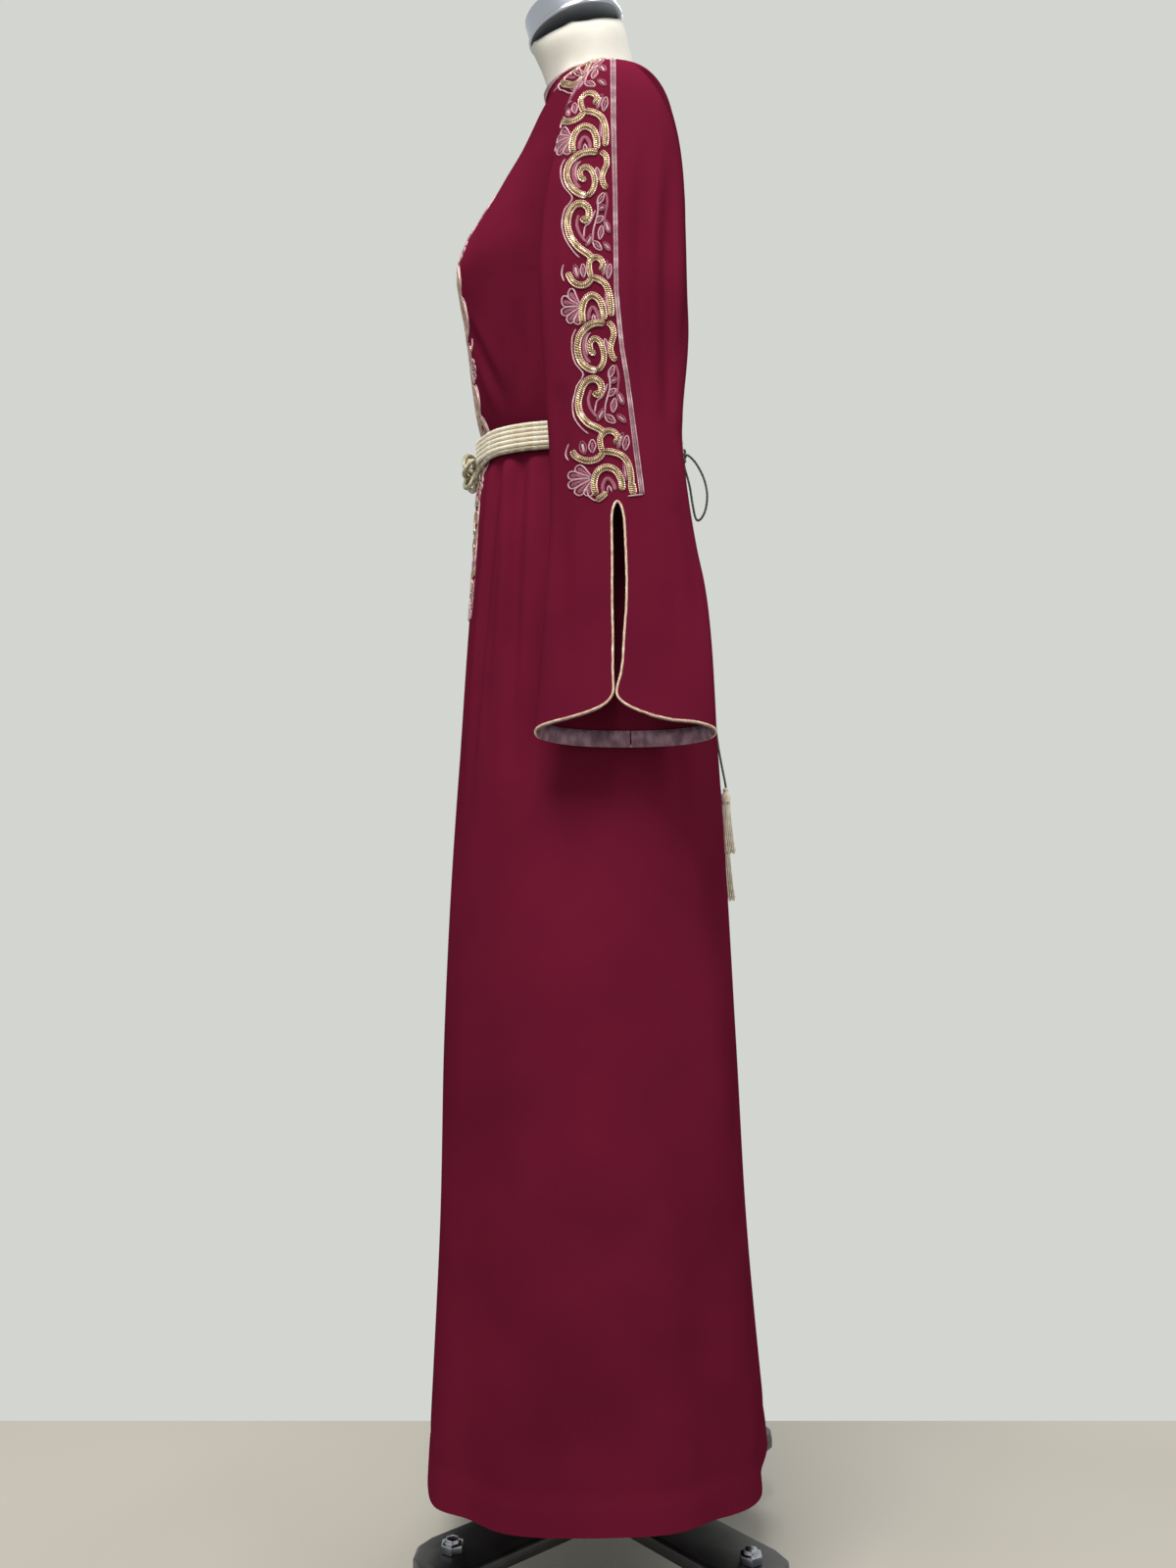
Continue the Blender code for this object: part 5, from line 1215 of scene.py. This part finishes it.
def spots_on(place, flat):
    """Points and normals of the cloth at chart places (across, down) in mm."""
    a, s = flat[:, 0] * np.interp(flat[:, 1] / place.length, *place.scale), flat[:, 1]
    rows, columns = place.points.shape[:2]
    j = np.clip(s / place.down_step, 0, rows - 1.001)
    i = np.clip(a / ACROSS_STEP, 0, columns - 1.001)
    j0, i0 = j.astype(int), i.astype(int)
    fj, fi = (j - j0)[:, None], (i - i0)[:, None]

    def mixed(table):
        return ((table[j0, i0] * (1 - fi) + table[j0, i0 + 1] * fi) * (1 - fj)
                + (table[j0 + 1, i0] * (1 - fi) + table[j0 + 1, i0 + 1] * fi) * fj)

    return mixed(place.points), unit(mixed(place.normals))


# The strip's back edge on the sleeve (height, x), and how wide each strip is at
# shares of its length, as a part of the repeat's own 54 mm
SLEEVE_LINE = [(1.4745, .003), (1.43, .003), (1.352, .003), (1.288, .004), (1.204, .005), (1.158, .0095),
               (1.128, .0145), (1.078, .0215), (1.031, .0275)]
SLEEVE_SCALE = ([0, .12, .30, .42, .50, .58, .66, .74, .82, .92, 1.0],
                [.95, 1.12, 1.15, 1.02, .90, .88, .90, .86, .90, 1.20, 1.10])
FRONT_SCALE = ([0, .05, .12, .40, .70, .90, .97, 1.0], [1.02, 1.10, 1.10, 1.0, .98, .92, .72, .55])
# The front strips' top and foot, and how far each stands off the centre front
FRONT_LINE = (1.456, 0.945)
FRONT_GAP = 0.0012
LINE_PLACES = 90
# From here a look meets the cloth from outside it
OUTSIDE = 0.5


def strip_on_sleeve(side):
    heights, xs = np.array(SLEEVE_LINE)[::-1].T
    line = []
    for z in np.linspace(heights[-1], heights[0], LINE_PLACES):
        line.append(on_cloth((float(np.interp(z, heights, xs)), side * OUTSIDE, z), (0, -side, 0)))
    return chart(line, np.array((-1.0, 0.0, 0.0)), SLEEVE_SCALE)


def strip_on_front(side):
    heights = np.linspace(*FRONT_LINE, LINE_PLACES)
    line = [on_cloth((-OUTSIDE, side * FRONT_GAP, z), (1, 0, 0)) for z in heights]
    return chart(line, np.array((0.0, side, 0.0)), FRONT_SCALE)


STITCH_STEP = 1.3
# Section of a stitched band: (place across, height), each as a share. A ribbon
# has a couched cord along both its edges.
RIBBON = [(-1, 0), (-.93, .75), (-.80, .95), (-.68, .55), (-.4, .85), (0, 1), (.4, .85), (.68, .55),
          (.80, .95), (.93, .75), (1, 0)]
FINE_LINE = [(-1, 0), (-.7, .8), (0, 1), (.7, .8), (1, 0)]
# Strokes wider than this are ribbons, the others fine lines
RIBBON_FROM = 3.0
SUNK = 0.3 * MM
# A band narrows to round ends: what is left there of its width, squared, and of its height
END_WIDTH = 0.02
END_HEIGHT = 0.35
# A stroke that would pass the strip's ends by more than this is left out
OVERHANG = 0.5


def stitched(shape, stroke, place):
    """One raised band of stitches laid on the cloth along a stroke."""
    length = length_of(stroke.points)
    count = max(int(length / STITCH_STEP), 5)
    flat = through(stroke.points, count)
    if flat[:, 1].min() < -OVERHANG or flat[:, 1].max() > place.length + OVERHANG:
        return
    centres, normals = spots_on(place, flat)
    across = unit(np.cross(normals, tangents(centres)))
    t = np.linspace(0, length, count)
    from_end = np.clip(np.minimum(t, length - t) / (stroke.width * 0.5), 0, 1)
    narrow = np.sqrt(np.maximum(1 - (1 - from_end) ** 2, END_WIDTH))
    places, crown = np.array(RIBBON if stroke.width > RIBBON_FROM else FINE_LINE).T
    out = places[None, :] * (stroke.width / 2 * narrow * MM)[:, None]
    full = END_HEIGHT + (1 - END_HEIGHT) * narrow
    up = -SUNK + crown[None, :] * (stroke.height * MM + SUNK) * full[:, None]
    grid = centres[:, None, :] + across[:, None, :] * out[:, :, None] + normals[:, None, :] * up[:, :, None]
    outwards = np.cross(grid[1, 1] - grid[0, 1], grid[0, 2] - grid[0, 1])
    if outwards.dot(normals[0]) > 0:
        grid = grid[:, ::-1]
    laid_grid(shape, grid, (BAND, length * MM), places)


THREADS = (("gold", GOLD_THREAD, "gold_thread"), ("silver", SILVER_THREAD, "silver_thread"),
           ("rose", PINK_THREAD, "silver_thread"), ("braid", MAUVE_BRAID, "silver_thread"))


def embroidered(place, repeats, name, node, more, open_below=()):
    """All strokes of one strip, gathered by thread into its pieces.

    open_below names the gold strokes, by their first point, that its first repeat leaves out."""
    strokes = braid_along(place.length) + more
    for k, (start, scale) in enumerate(repeats_up(place.length, repeats)):
        for stroke in one_repeat():
            if k == 0 and stroke.thread == GOLD and stroke.points[0] in open_below:
                continue
            points = [(a, start + s * scale) for a, s in stroke.points]
            strokes.append(Stroke(stroke.thread, stroke.width, stroke.height, points))
    shapes = [bmesh.new() for _ in THREADS]
    for stroke in strokes:
        stitched(shapes[stroke.thread], stroke, place)
    for shape, (kind, made, slot) in zip(shapes, THREADS):
        keep(shape, f"{name}_{kind}", made, slot, [node] if kind == "gold" else [])


# Whole repeats of each strip, the room for leaves above them, and the head of one more
# repeat that closes the strip's foot
SLEEVE_REPEATS = 3
FRONT_REPEATS = 4
HEAD_ROOM = 24.0
REPEAT_HEAD = 57.0


def repeats_up(length, count):
    """Start and scale of each repeat down a strip."""
    scale = (length - HEAD_ROOM) / (REPEAT_HEAD + REPEAT * count)
    return [(HEAD_ROOM + REPEAT * scale * k, scale) for k in range(count + 1)]


def strip_end(length):
    """Foot of the sleeve strip: the arm carried down beside the slit, and a ribbed foot."""
    return [Stroke(GOLD, 7.0, 1.6, [(9.2, length - 12), (8.7, length - 6), (8.7, length - 0.3)]),
            Stroke(GOLD, 5.6, 1.4, [(38.5, length + 0.2), (33, length - 2.5), (28.5, length - 6)]),
            Stroke(SILVER, 1.5, 1.2, [(0.5, length), (7, length), (13.5, length)]),
            Stroke(SILVER, 1.5, 1.2, [(43, length - 12), (43, length - 5), (39, length), (35, length)])]


def shoulder_leaves():
    """Sprays of leaves where the sleeve strip turns over the shoulder, by the neck."""
    sprays = leaves([
        ((26, 150), (38, 146), 2.6, SILVER), ((26, 146), (37, 136), 2.6, PINK),
        ((25, 141), (33, 127), 2.6, SILVER), ((25, 136), (27, 120), 2.5, PINK),
        ((33, 156), (46, 153), 2.8, SILVER), ((35, 160), (50, 162), 2.6, PINK),
        ((38, 134), (47, 126), 2.6, SILVER), ((34, 122), (42, 113), 2.4, PINK),
        ((29, 114), (33, 101), 2.4, SILVER)])
    stem = Stroke(PINK, 2.2, 1.0, [(44, 166), (33, 158), (26, 148), (24, 132), (26, 114), (33, 100)])
    return sprays + [stem]


def strip_head():
    """Leaves and buds that open the strip at the neck."""
    sprays = leaves([
        ((15, 20), (9, 6), 2.4, SILVER), ((18, 19), (18, 3), 2.5, PINK), ((23, 19), (27, 4), 2.5, SILVER),
        ((29, 22), (37, 9), 2.5, PINK), ((11, 26), (7.5, 15), 2.0, PINK), ((34, 25), (45, 16), 2.4, SILVER),
        ((40, 14), (46, 4), 2.0, PINK)])
    stem = Stroke(PINK, 2.2, 1.0, [(12, 27), (18, 21.5), (27, 20.5), (36, 24), (46, 21)])
    return sprays + [stem]


SIDES = ((-1, "left"), (1, "right"))
for side, side_name in SIDES:
    sleeve_place = strip_on_sleeve(side)
    embroidered(sleeve_place, SLEEVE_REPEATS, "sleeve_scrolls_" + side_name,
                "sleeve_embroidery_" + side_name,
                strip_end(sleeve_place.length) + strip_head() + shoulder_leaves(), open_below=[(35, 109)])
    embroidered(strip_on_front(side), FRONT_REPEATS, "front_scrolls_" + side_name,
                "front_embroidery_" + side_name, strip_head())


# Neck, cuffs and belt
NECK_TRIM_WIDTH = 0.007
NECK_CORD_RADIUS = 0.00112
# The cords' middles lie this share of their radius above the cloth
NECK_SEAT = 0.8
# Where the three cords lie, as shares of the trim's width
NECK_ROWS = ((0.16, SILVER_THREAD), (0.50, MAUVE_BRAID), (0.84, SILVER_THREAD))
# The trim ends so many degrees off the centre front; the way back starts past the centre back
NECK_OPENING = 1.2
NECK_PAST_BACK = 178.4
NECK_PLACES = 110
# The sewn pieces' two-strand cords, and how far apart a cord's points lie
FINE_TWIST = 0.0026
NECK_STEP = 0.0008


def neck_trim():
    """Three fine cords side by side round the neck edge, open at the centre front."""
    round_neck = [(turn, 1) for turn in np.linspace(NECK_OPENING, 180, NECK_PLACES)]
    round_neck += [(turn, -1) for turn in np.linspace(NECK_PAST_BACK, NECK_OPENING, NECK_PLACES - 1)]
    silver, mauve = bmesh.new(), bmesh.new()
    for row, (share, made) in enumerate(NECK_ROWS):
        points = []
        for turn, side in round_neck:
            edge, below = body_point(NECK_EDGE, turn), body_point(NECK_EDGE - 1, turn)
            point = edge + (below - edge).normalized() * NECK_TRIM_WIDTH * share
            point.y *= side
            near, normal, _, _ = TREE.find_nearest(point)
            points.append(near + normal * NECK_CORD_RADIUS * NECK_SEAT)
        points = through(points, int(length_of(points) / NECK_STEP))
        twisted_cord(silver if made is SILVER_THREAD else mauve, points, NECK_CORD_RADIUS, FINE_TWIST,
                     strands=2, depth=0.2, columns=6, hand=(-1) ** row)
    for shape in (silver, mauve):
        close_up(shape)
    keep(silver, "neck_trim_edges", SILVER_THREAD, "silver_thread", ["neck_trim"])
    keep(mauve, "neck_trim_middle", MAUVE_BRAID, "silver_thread")


# How far apart the ring's points lie, and how often it is smoothed along the edge first
RING_STEP = 0.0011
RING_PASSES = 4


def cuff_ring(panel):
    """The sleeve's open edge as an even ring: points, outward normals, and ways off the edge."""
    shape = bmesh.new()
    shape.from_mesh(CLOTH_FACE)
    edges = [e for e in shape.edges if e.is_boundary and e.link_faces[0].material_index == panel]
    first = max((v for e in edges for v in e.verts), key=lambda v: v.co.z)
    ring, came = [first], None
    while True:
        edge = next(e for e in ring[-1].link_edges if e.is_boundary and e is not came)
        came = edge
        onward = edge.other_vert(ring[-1])
        if onward is first:
            break
        ring.append(onward)
    rows = []
    for vert in ring:
        inner = sum((f.calc_center_median() for f in vert.link_faces), Vector()) / len(vert.link_faces)
        rows.append((*vert.co, *vert.normal, *(vert.co - inner).normalized()))
    shape.free()
    rows = np.array(rows)
    for _ in range(RING_PASSES):
        rows = (np.roll(rows, 1, axis=0) + 2 * rows + np.roll(rows, -1, axis=0)) / 4
    count = int(length_of(rows[:, :3], closed=True) / RING_STEP)
    closed = np.vstack([rows, rows[:1]])
    run = run_along(closed[:, :3])
    wanted = np.linspace(0, run[-1], count + 1)[:count]
    even = np.stack([np.interp(wanted, run, column) for column in closed.T], axis=1)
    places, normals, ways = even[:, :3], unit(even[:, 3:6]), even[:, 6:]
    along = tangents(places, closed=True)
    ways = (ways - along * (ways * along).sum(1, keepdims=True)
            - normals * (ways * normals).sum(1, keepdims=True))
    return places, normals, unit(ways)


PIPING_RADIUS = 0.0013
# The piping's middle lies this far past the cloth's edge
PIPING_OUT = 0.0006
# The tape inside the cuff: how far it reaches up from the edge and past it, how far it stands
# off the cloth, how thick it is at its middle and edges, how high its stitches stand, its
# girth, and where its two ends meet
TAPE_UP = 0.0125
TAPE_BELOW = 0.0021
TAPE_OFF = 0.0010
TAPE_THICK = (0.0008, 0.0006)
TAPE_RIPPLE = 0.00012
TAPE_GIRTH = 0.03
TAPE_JOIN_X = 0.0177
# The tape leaves out the slit: so many degrees to each side of the cuff's outer line,
# seen from the cuff's middle, and all that lies above this height
CUFF_MIDDLE = (0.011, 0.2075)
SLIT_SPAN = 42
CUFF_TOP = 0.87


def cuff_trim(side, side_name):
    """Gold piping round the slit and cuff, and the overlocked tape inside the cuff."""
    places, normals, ways = cuff_ring(SLEEVE_L if side < 0 else SLEEVE_R)
    shape = bmesh.new()
    twisted_cord(shape, places + ways * PIPING_OUT - normals * CLOTH / 2, PIPING_RADIUS, FINE_TWIST,
                 strands=2, depth=0.24, columns=7, closed=True)
    close_up(shape)
    keep(shape, "cuff_piping_cord_" + side_name, PIPING_CORD, "gold_thread", ["cuff_piping_" + side_name])
    off_x = places[:, 0] - CUFF_MIDDLE[0]
    off_y = side * places[:, 1] - CUFF_MIDDLE[1]
    inside = (np.abs(np.degrees(np.arctan2(off_x, off_y))) > SLIT_SPAN) & (places[:, 2] < CUFF_TOP)
    starts = np.flatnonzero(inside & ~np.roll(inside, 1))
    order = (np.arange(len(places)) + starts[0]) % len(places)
    order = order[:np.flatnonzero(~inside[order])[0]]
    join = np.argmin(np.where(off_y[order] < 0, np.abs(places[order][:, 0] - TAPE_JOIN_X), np.inf))
    middle, edge = TAPE_THICK
    shape = bmesh.new()
    for run in (order[:join + 1], order[join + 1:]):
        base = places[run] - normals[run] * (CLOTH + TAPE_OFF)
        ripple = TAPE_RIPPLE * np.sin(np.arange(len(run)) * 2.1)[:, None]
        section = []
        for up, deep in ((-TAPE_BELOW, 0.0), (TAPE_UP / 2, 0.0), (TAPE_UP, 0.0), (TAPE_UP, edge),
                         (TAPE_UP / 2, middle), (-TAPE_BELOW, edge), (-TAPE_BELOW, 0.0)):
            section.append(base - ways[run] * up - normals[run] * (deep + ripple * (deep > 0)))
        laid_grid(shape, np.stack(section, axis=1), (TAPE_GIRTH, len(run) * RING_STEP))
    close_up(shape)
    keep(shape, "hem_tape_woven_" + side_name, TAPE, "hem_tape", ["hem_tape_" + side_name])


BELT_TOP = 1.1265
BELT_SIDE_DIP = 0.008
BELT_CORDS = 6
BELT_PITCH = 0.0044
BELT_SIDES = 28
BELT_CENTRE_X = -0.015
BELT_TWIST = 0.0040
BELT_STEP = 0.0014
# A little more than half the pitch, so that the cords lie against each other
BELT_CORD_RADIUS = BELT_PITCH * 0.52
# The belt is looked for from this far off its middle
BELT_LOOK = 0.2
# How far the silver cord hangs below the belt at the front, how wide that stretch is as the
# sine of its turn, the droop from which it counts, and the height of the stitching under it
SILVER_DROOP = 0.011
DROOP_SPREAD = 0.38
DROOP_FROM = 0.0004
OVER_EMBROIDERY = 0.0024


def belt_cords():
    """Five pale cords and a silver one below, laid side by side round the waist."""
    tree = node_tree("belt")
    pale, silver = bmesh.new(), bmesh.new()
    for k in range(BELT_CORDS):
        lowest = k == BELT_CORDS - 1
        points = []
        for turn in np.arange(BELT_SIDES) * 2 * math.pi / BELT_SIDES:
            look = Vector((-math.cos(turn), -math.sin(turn), 0))
            z = BELT_TOP - (k + 0.5) * BELT_PITCH - BELT_SIDE_DIP * math.sin(turn) ** 2
            start = Vector((BELT_CENTRE_X, 0, z)) + look * BELT_LOOK
            point = tree.ray_cast(start, -look)[0] - look * BELT_PITCH / 2
            droop = SILVER_DROOP * math.exp(-(math.sin(turn) / DROOP_SPREAD) ** 2) * (math.cos(turn) > 0)
            if lowest and droop > DROOP_FROM:
                cloth = TREE.ray_cast(start - Vector((0, 0, droop)), -look)[0]
                clear = cloth + look * (OVER_EMBROIDERY + BELT_PITCH / 2)
                point = point.lerp(clear, min(droop / SILVER_DROOP * 3, 1))
            points.append(point)
        points = through(points, int(length_of(points, closed=True) / BELT_STEP), closed=True)
        twisted_cord(silver if lowest else pale, points, BELT_CORD_RADIUS, BELT_TWIST, strands=3,
                     depth=0.17, columns=10, closed=True, hand=(-1) ** k)
    for shape in (pale, silver):
        close_up(shape)
    keep(pale, "belt_cords", PALE_CORD, "gold_thread", ["belt"])
    keep(silver, "belt_cord_below", SILVER_CORD, "gold_thread")


KNOT_RADIUS = 0.0026
# How far the knot's cord rises over itself where it crosses
KNOT_RISE = 0.0050
KNOT_LOBES = 5
KNOT_HEIGHT = 1.1005
KNOT_HALF_WIDE = 0.023
KNOT_HALF_HIGH = 0.0205
KNOT_GAP = 0.0004
KNOT_STEP = 0.0009
# The knot's reach off its middle: its mean and its swing, as shares of the whole
KNOT_REACH = (0.62, 0.38)
# The knot follows the belt's front, whose radius is half of this
FRONT_ROUND = 0.5


def belt_knot():
    """The interlaced ornament on the belt: a five-lobed knot of one silver cord."""
    front_x = node_points("belt")[:, 0].min()
    t = np.linspace(0, 2 * math.pi, 181)[:-1]
    reach = KNOT_REACH[0] + KNOT_REACH[1] * np.cos(KNOT_LOBES * t)
    y = reach * np.sin(2 * t) * (KNOT_HALF_WIDE - KNOT_RADIUS)
    z = KNOT_HEIGHT + reach * np.cos(2 * t) * (KNOT_HALF_HIGH - KNOT_RADIUS)
    x = (front_x - KNOT_GAP - (KNOT_RADIUS + KNOT_RISE) + KNOT_RISE * np.sin(KNOT_LOBES * t)
         + y * y / FRONT_ROUND)
    points = np.stack([x, y, z], axis=1)
    points = through(points, int(length_of(points, closed=True) / KNOT_STEP), closed=True)
    shape = bmesh.new()
    twisted_cord(shape, points, KNOT_RADIUS, BELT_TWIST, strands=3, depth=0.18, columns=10, closed=True)
    close_up(shape)
    keep(shape, "belt_knot_cord", SILVER_CORD, "silver_thread", ["belt_knot"])


neck_trim()
for side, side_name in SIDES:
    cuff_trim(side, side_name)
belt_cords()
belt_knot()


# Form and stand
def turned(profile, segments):
    """A turned shape: a profile of (radius, height) spun round Z."""
    shape = bmesh.new()
    verts = [shape.verts.new((radius, 0, height)) for radius, height in profile]
    edges = [shape.edges.new(pair) for pair in zip(verts, verts[1:])]
    bmesh.ops.spin(shape, geom=verts + edges, cent=(0, 0, 0), axis=(0, 0, 1), angle=2 * math.pi,
                   steps=segments, use_merge=True, use_duplicate=False)
    bmesh.ops.remove_doubles(shape, verts=shape.verts[:], dist=1e-6)
    bmesh.ops.recalc_face_normals(shape, faces=shape.faces[:])
    return shape


def bevelled(obj, width, segments):
    """Round off the sharp edges of a piece."""
    edge = obj.modifiers.new("edges", "BEVEL")
    edge.width = width
    edge.segments = segments
    edge.limit_method = "ANGLE"
    edge.angle_limit = math.radians(32)
    edge.harden_normals = True


def padded_form():
    """The padded torso and neck, eased into one smooth skin."""
    shape = node_shape("form_torso")
    bmesh.ops.join_triangles(shape, faces=shape.faces[:], angle_face_threshold=math.radians(30),
                             angle_shape_threshold=math.radians(60))
    obj = keep(shape, "padded_form", IVORY, "ivory_jersey", ["form_torso"])
    ease = obj.modifiers.new("ease", "SUBSURF")
    ease.levels = ease.render_levels = 2


# The neck leans back from its foot, given as (x, height), up to its cut top
NECK_LEAN = math.radians(17.5)
NECK_FOOT = (-0.0138, 1.485)
NECK_TOP = 1.5455
CAP_GAP = 0.0003
CAP_RADIUS = 0.0480
CAP_HEIGHT = 0.026
# The cap's side from its top down to its flange: how far out from the radius, and the height
CAP_SIDE = ((-0.006, CAP_HEIGHT), (-0.003, 0.0253), (-0.0013, 0.0234), (-0.001, 0.020), (-0.001, 0.0052),
            (0.0, 0.0044), (0.0010, 0.0038), (0.0012, 0.0030), (0.0012, 0.0008), (0.0006, 0.0))
# The turned shapes close up to this radius at their axis
AXIS = 0.0002


def neck_cap():
    """The chrome cap on the neck: a plate with a rounded rim over a small flange."""
    profile = [(CAP_RADIUS + out, height) for out, height in CAP_SIDE]
    shape = turned([(AXIS, CAP_HEIGHT)] + profile + [(AXIS, 0.0)], 96)
    bmesh.ops.rotate(shape, matrix=Matrix.Rotation(-NECK_LEAN, 3, "Y"), verts=shape.verts[:])
    foot_x, foot_z = NECK_FOOT
    top = Vector((foot_x - math.tan(NECK_LEAN) * (NECK_TOP - foot_z), 0, NECK_TOP))
    up = Vector((-math.sin(NECK_LEAN), 0, math.cos(NECK_LEAN)))
    bmesh.ops.translate(shape, vec=top + up * CAP_GAP, verts=shape.verts[:])
    bevelled(keep(shape, "neck_cap_plate", CHROME, "chrome", ["neck_cap"]), 0.0003, 1)


def casting(node, name, made, slot, body, edge):
    """A cast or pressed part: the solid itself with its edges rounded off."""
    shape = node_shape(node)
    bmesh.ops.dissolve_limit(shape, angle_limit=math.radians(1), verts=shape.verts[:], edges=shape.edges[:])
    bevelled(keep(shape, name, made, slot, [node], body), edge, 3)


# A wheel's section from its bore to the middle of its tread: (radius, half width)
WHEEL_HALF = [(0.0036, 0.0080), (0.0072, 0.0080), (0.0078, 0.0074), (0.0082, 0.0064), (0.0140, 0.0062),
              (0.0150, 0.0068), (0.0158, 0.0079), (0.0192, 0.0080), (0.0211, 0.0074), (0.0221, 0.0060),
              (0.0225, 0.0035), (0.0225, 0.0012), (0.0222, 0.0)]


def rubber_wheel(k):
    """A rubber-tyred wheel: a rounded tread, a stepped rim and a raised hub, where the solid stands."""
    solid = node_points(f"castor_wheel_{k}")
    middle = (solid.min(axis=0) + solid.max(axis=0)) / 2
    flat = (solid - middle)[:, :2]
    axle_x, axle_y = np.linalg.eigh(flat.T @ flat)[1][:, 0]
    heading = math.atan2(axle_x, -axle_y)
    profile = WHEEL_HALF + [(radius, -half) for radius, half in reversed(WHEEL_HALF[:-1])] + WHEEL_HALF[:1]
    shape = turned(profile, 64)
    turn = Matrix.Rotation(heading, 3, "Z") @ Matrix.Rotation(math.pi / 2, 3, "X")
    bmesh.ops.rotate(shape, matrix=turn, verts=shape.verts[:])
    bmesh.ops.translate(shape, vec=Vector(middle), verts=shape.verts[:])
    keep(shape, f"rubber_wheel_{k}", RUBBER, "castor_rubber", [f"castor_wheel_{k}"], f"castor_roller_{k}")


# The pole's open ends stay this far inside the solid's own
POLE_CLEAR = 0.0002


def chrome_pole():
    """The pole as a bare tube from the base up to the torso."""
    solid = node_points("pole")
    radius = solid[:, 0].max()
    ends = (solid[:, 2].max() - POLE_CLEAR, solid[:, 2].min() + POLE_CLEAR)
    shape = turned([(radius, height) for height in ends], 64)
    keep(shape, "chrome_pole", CHROME, "chrome", ["pole"])


CASTORS = range(1, 5)
padded_form()
neck_cap()
chrome_pole()
casting("stand_base", "base_casting", BLACK_IRON, "black_iron", GARMENT, 0.0012)
for k in CASTORS:
    casting(f"leg_nut_{k}", f"hex_nut_{k}", CHROME, "chrome", GARMENT, 0.0006)
for k in CASTORS:
    casting(f"castor_fork_{k}", f"pressed_fork_{k}", CHROME, "chrome", f"castor_swivel_{k}", 0.0005)
for k in CASTORS:
    rubber_wheel(k)


# Light and floor
LIGHTS_AIM = Vector((0, 0, 1.2))


def area_light(name, at, size, power, colour="#ffffff"):
    """A square light that looks at the garment's breast."""
    light = bpy.data.lights.new(name, "AREA")
    light.shape = "RECTANGLE"
    light.size = size
    light.size_y = size
    light.energy = power
    light.color = linear(colour)[:3]
    obj = placed(name, light)
    obj.location = at
    obj.rotation_euler = (LIGHTS_AIM - Vector(at)).to_track_quat("-Z", "Y").to_euler()


# The floor ends a hand's breadth behind the form, where the photograph's wall stands
FLOOR_HALF = 3.0
FLOOR_BACK = 0.335


def set_studio():
    world = bpy.data.worlds.new("studio")
    world.use_nodes = True
    world.node_tree.nodes["Background"].inputs["Color"].default_value = linear("#dfe1dc")
    world.node_tree.nodes["Background"].inputs["Strength"].default_value = 0.885
    bpy.context.scene.world = world
    area_light("key", (-0.4, -1.25, 3.1), 0.9, 74, "#fffaf2")
    area_light("fill", (1.5, -1.4, 2.6), 1.0, 14, "#f4f7ff")
    area_light("behind", (0.3, 1.9, 2.8), 1.2, 26)
    floor = bmesh.new()
    bmesh.ops.create_grid(floor, x_segments=1, y_segments=1, size=FLOOR_HALF)
    bmesh.ops.translate(floor, vec=(0, FLOOR_BACK - FLOOR_HALF, 0), verts=floor.verts[:])
    mesh = bpy.data.meshes.new("floor")
    floor.to_mesh(mesh)
    floor.free()
    # Pale painted floor, faintly uneven.
    paint = finish("pale_floor", "#a9a59d", 0.75)
    place = add(paint, "ShaderNodeTexCoord")
    cloud = add(paint, "ShaderNodeTexNoise", [("Vector", place.outputs["Object"])], Scale=1.5, Detail=2.0)
    tone = add(paint, "ShaderNodeValToRGB", [("Fac", cloud.outputs["Fac"])],
               stops=[(0.3, "#a5a199"), (0.7, "#aeaaa2")])
    into_shader(paint, Base_Color=tone.outputs["Color"])
    mesh.materials.append(paint)
    placed("floor", mesh)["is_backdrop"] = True
    bpy.context.scene.view_settings.view_transform = "Standard"


set_studio()

[[list(corner) for corner in box] for box in (CAD_BOX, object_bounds())]
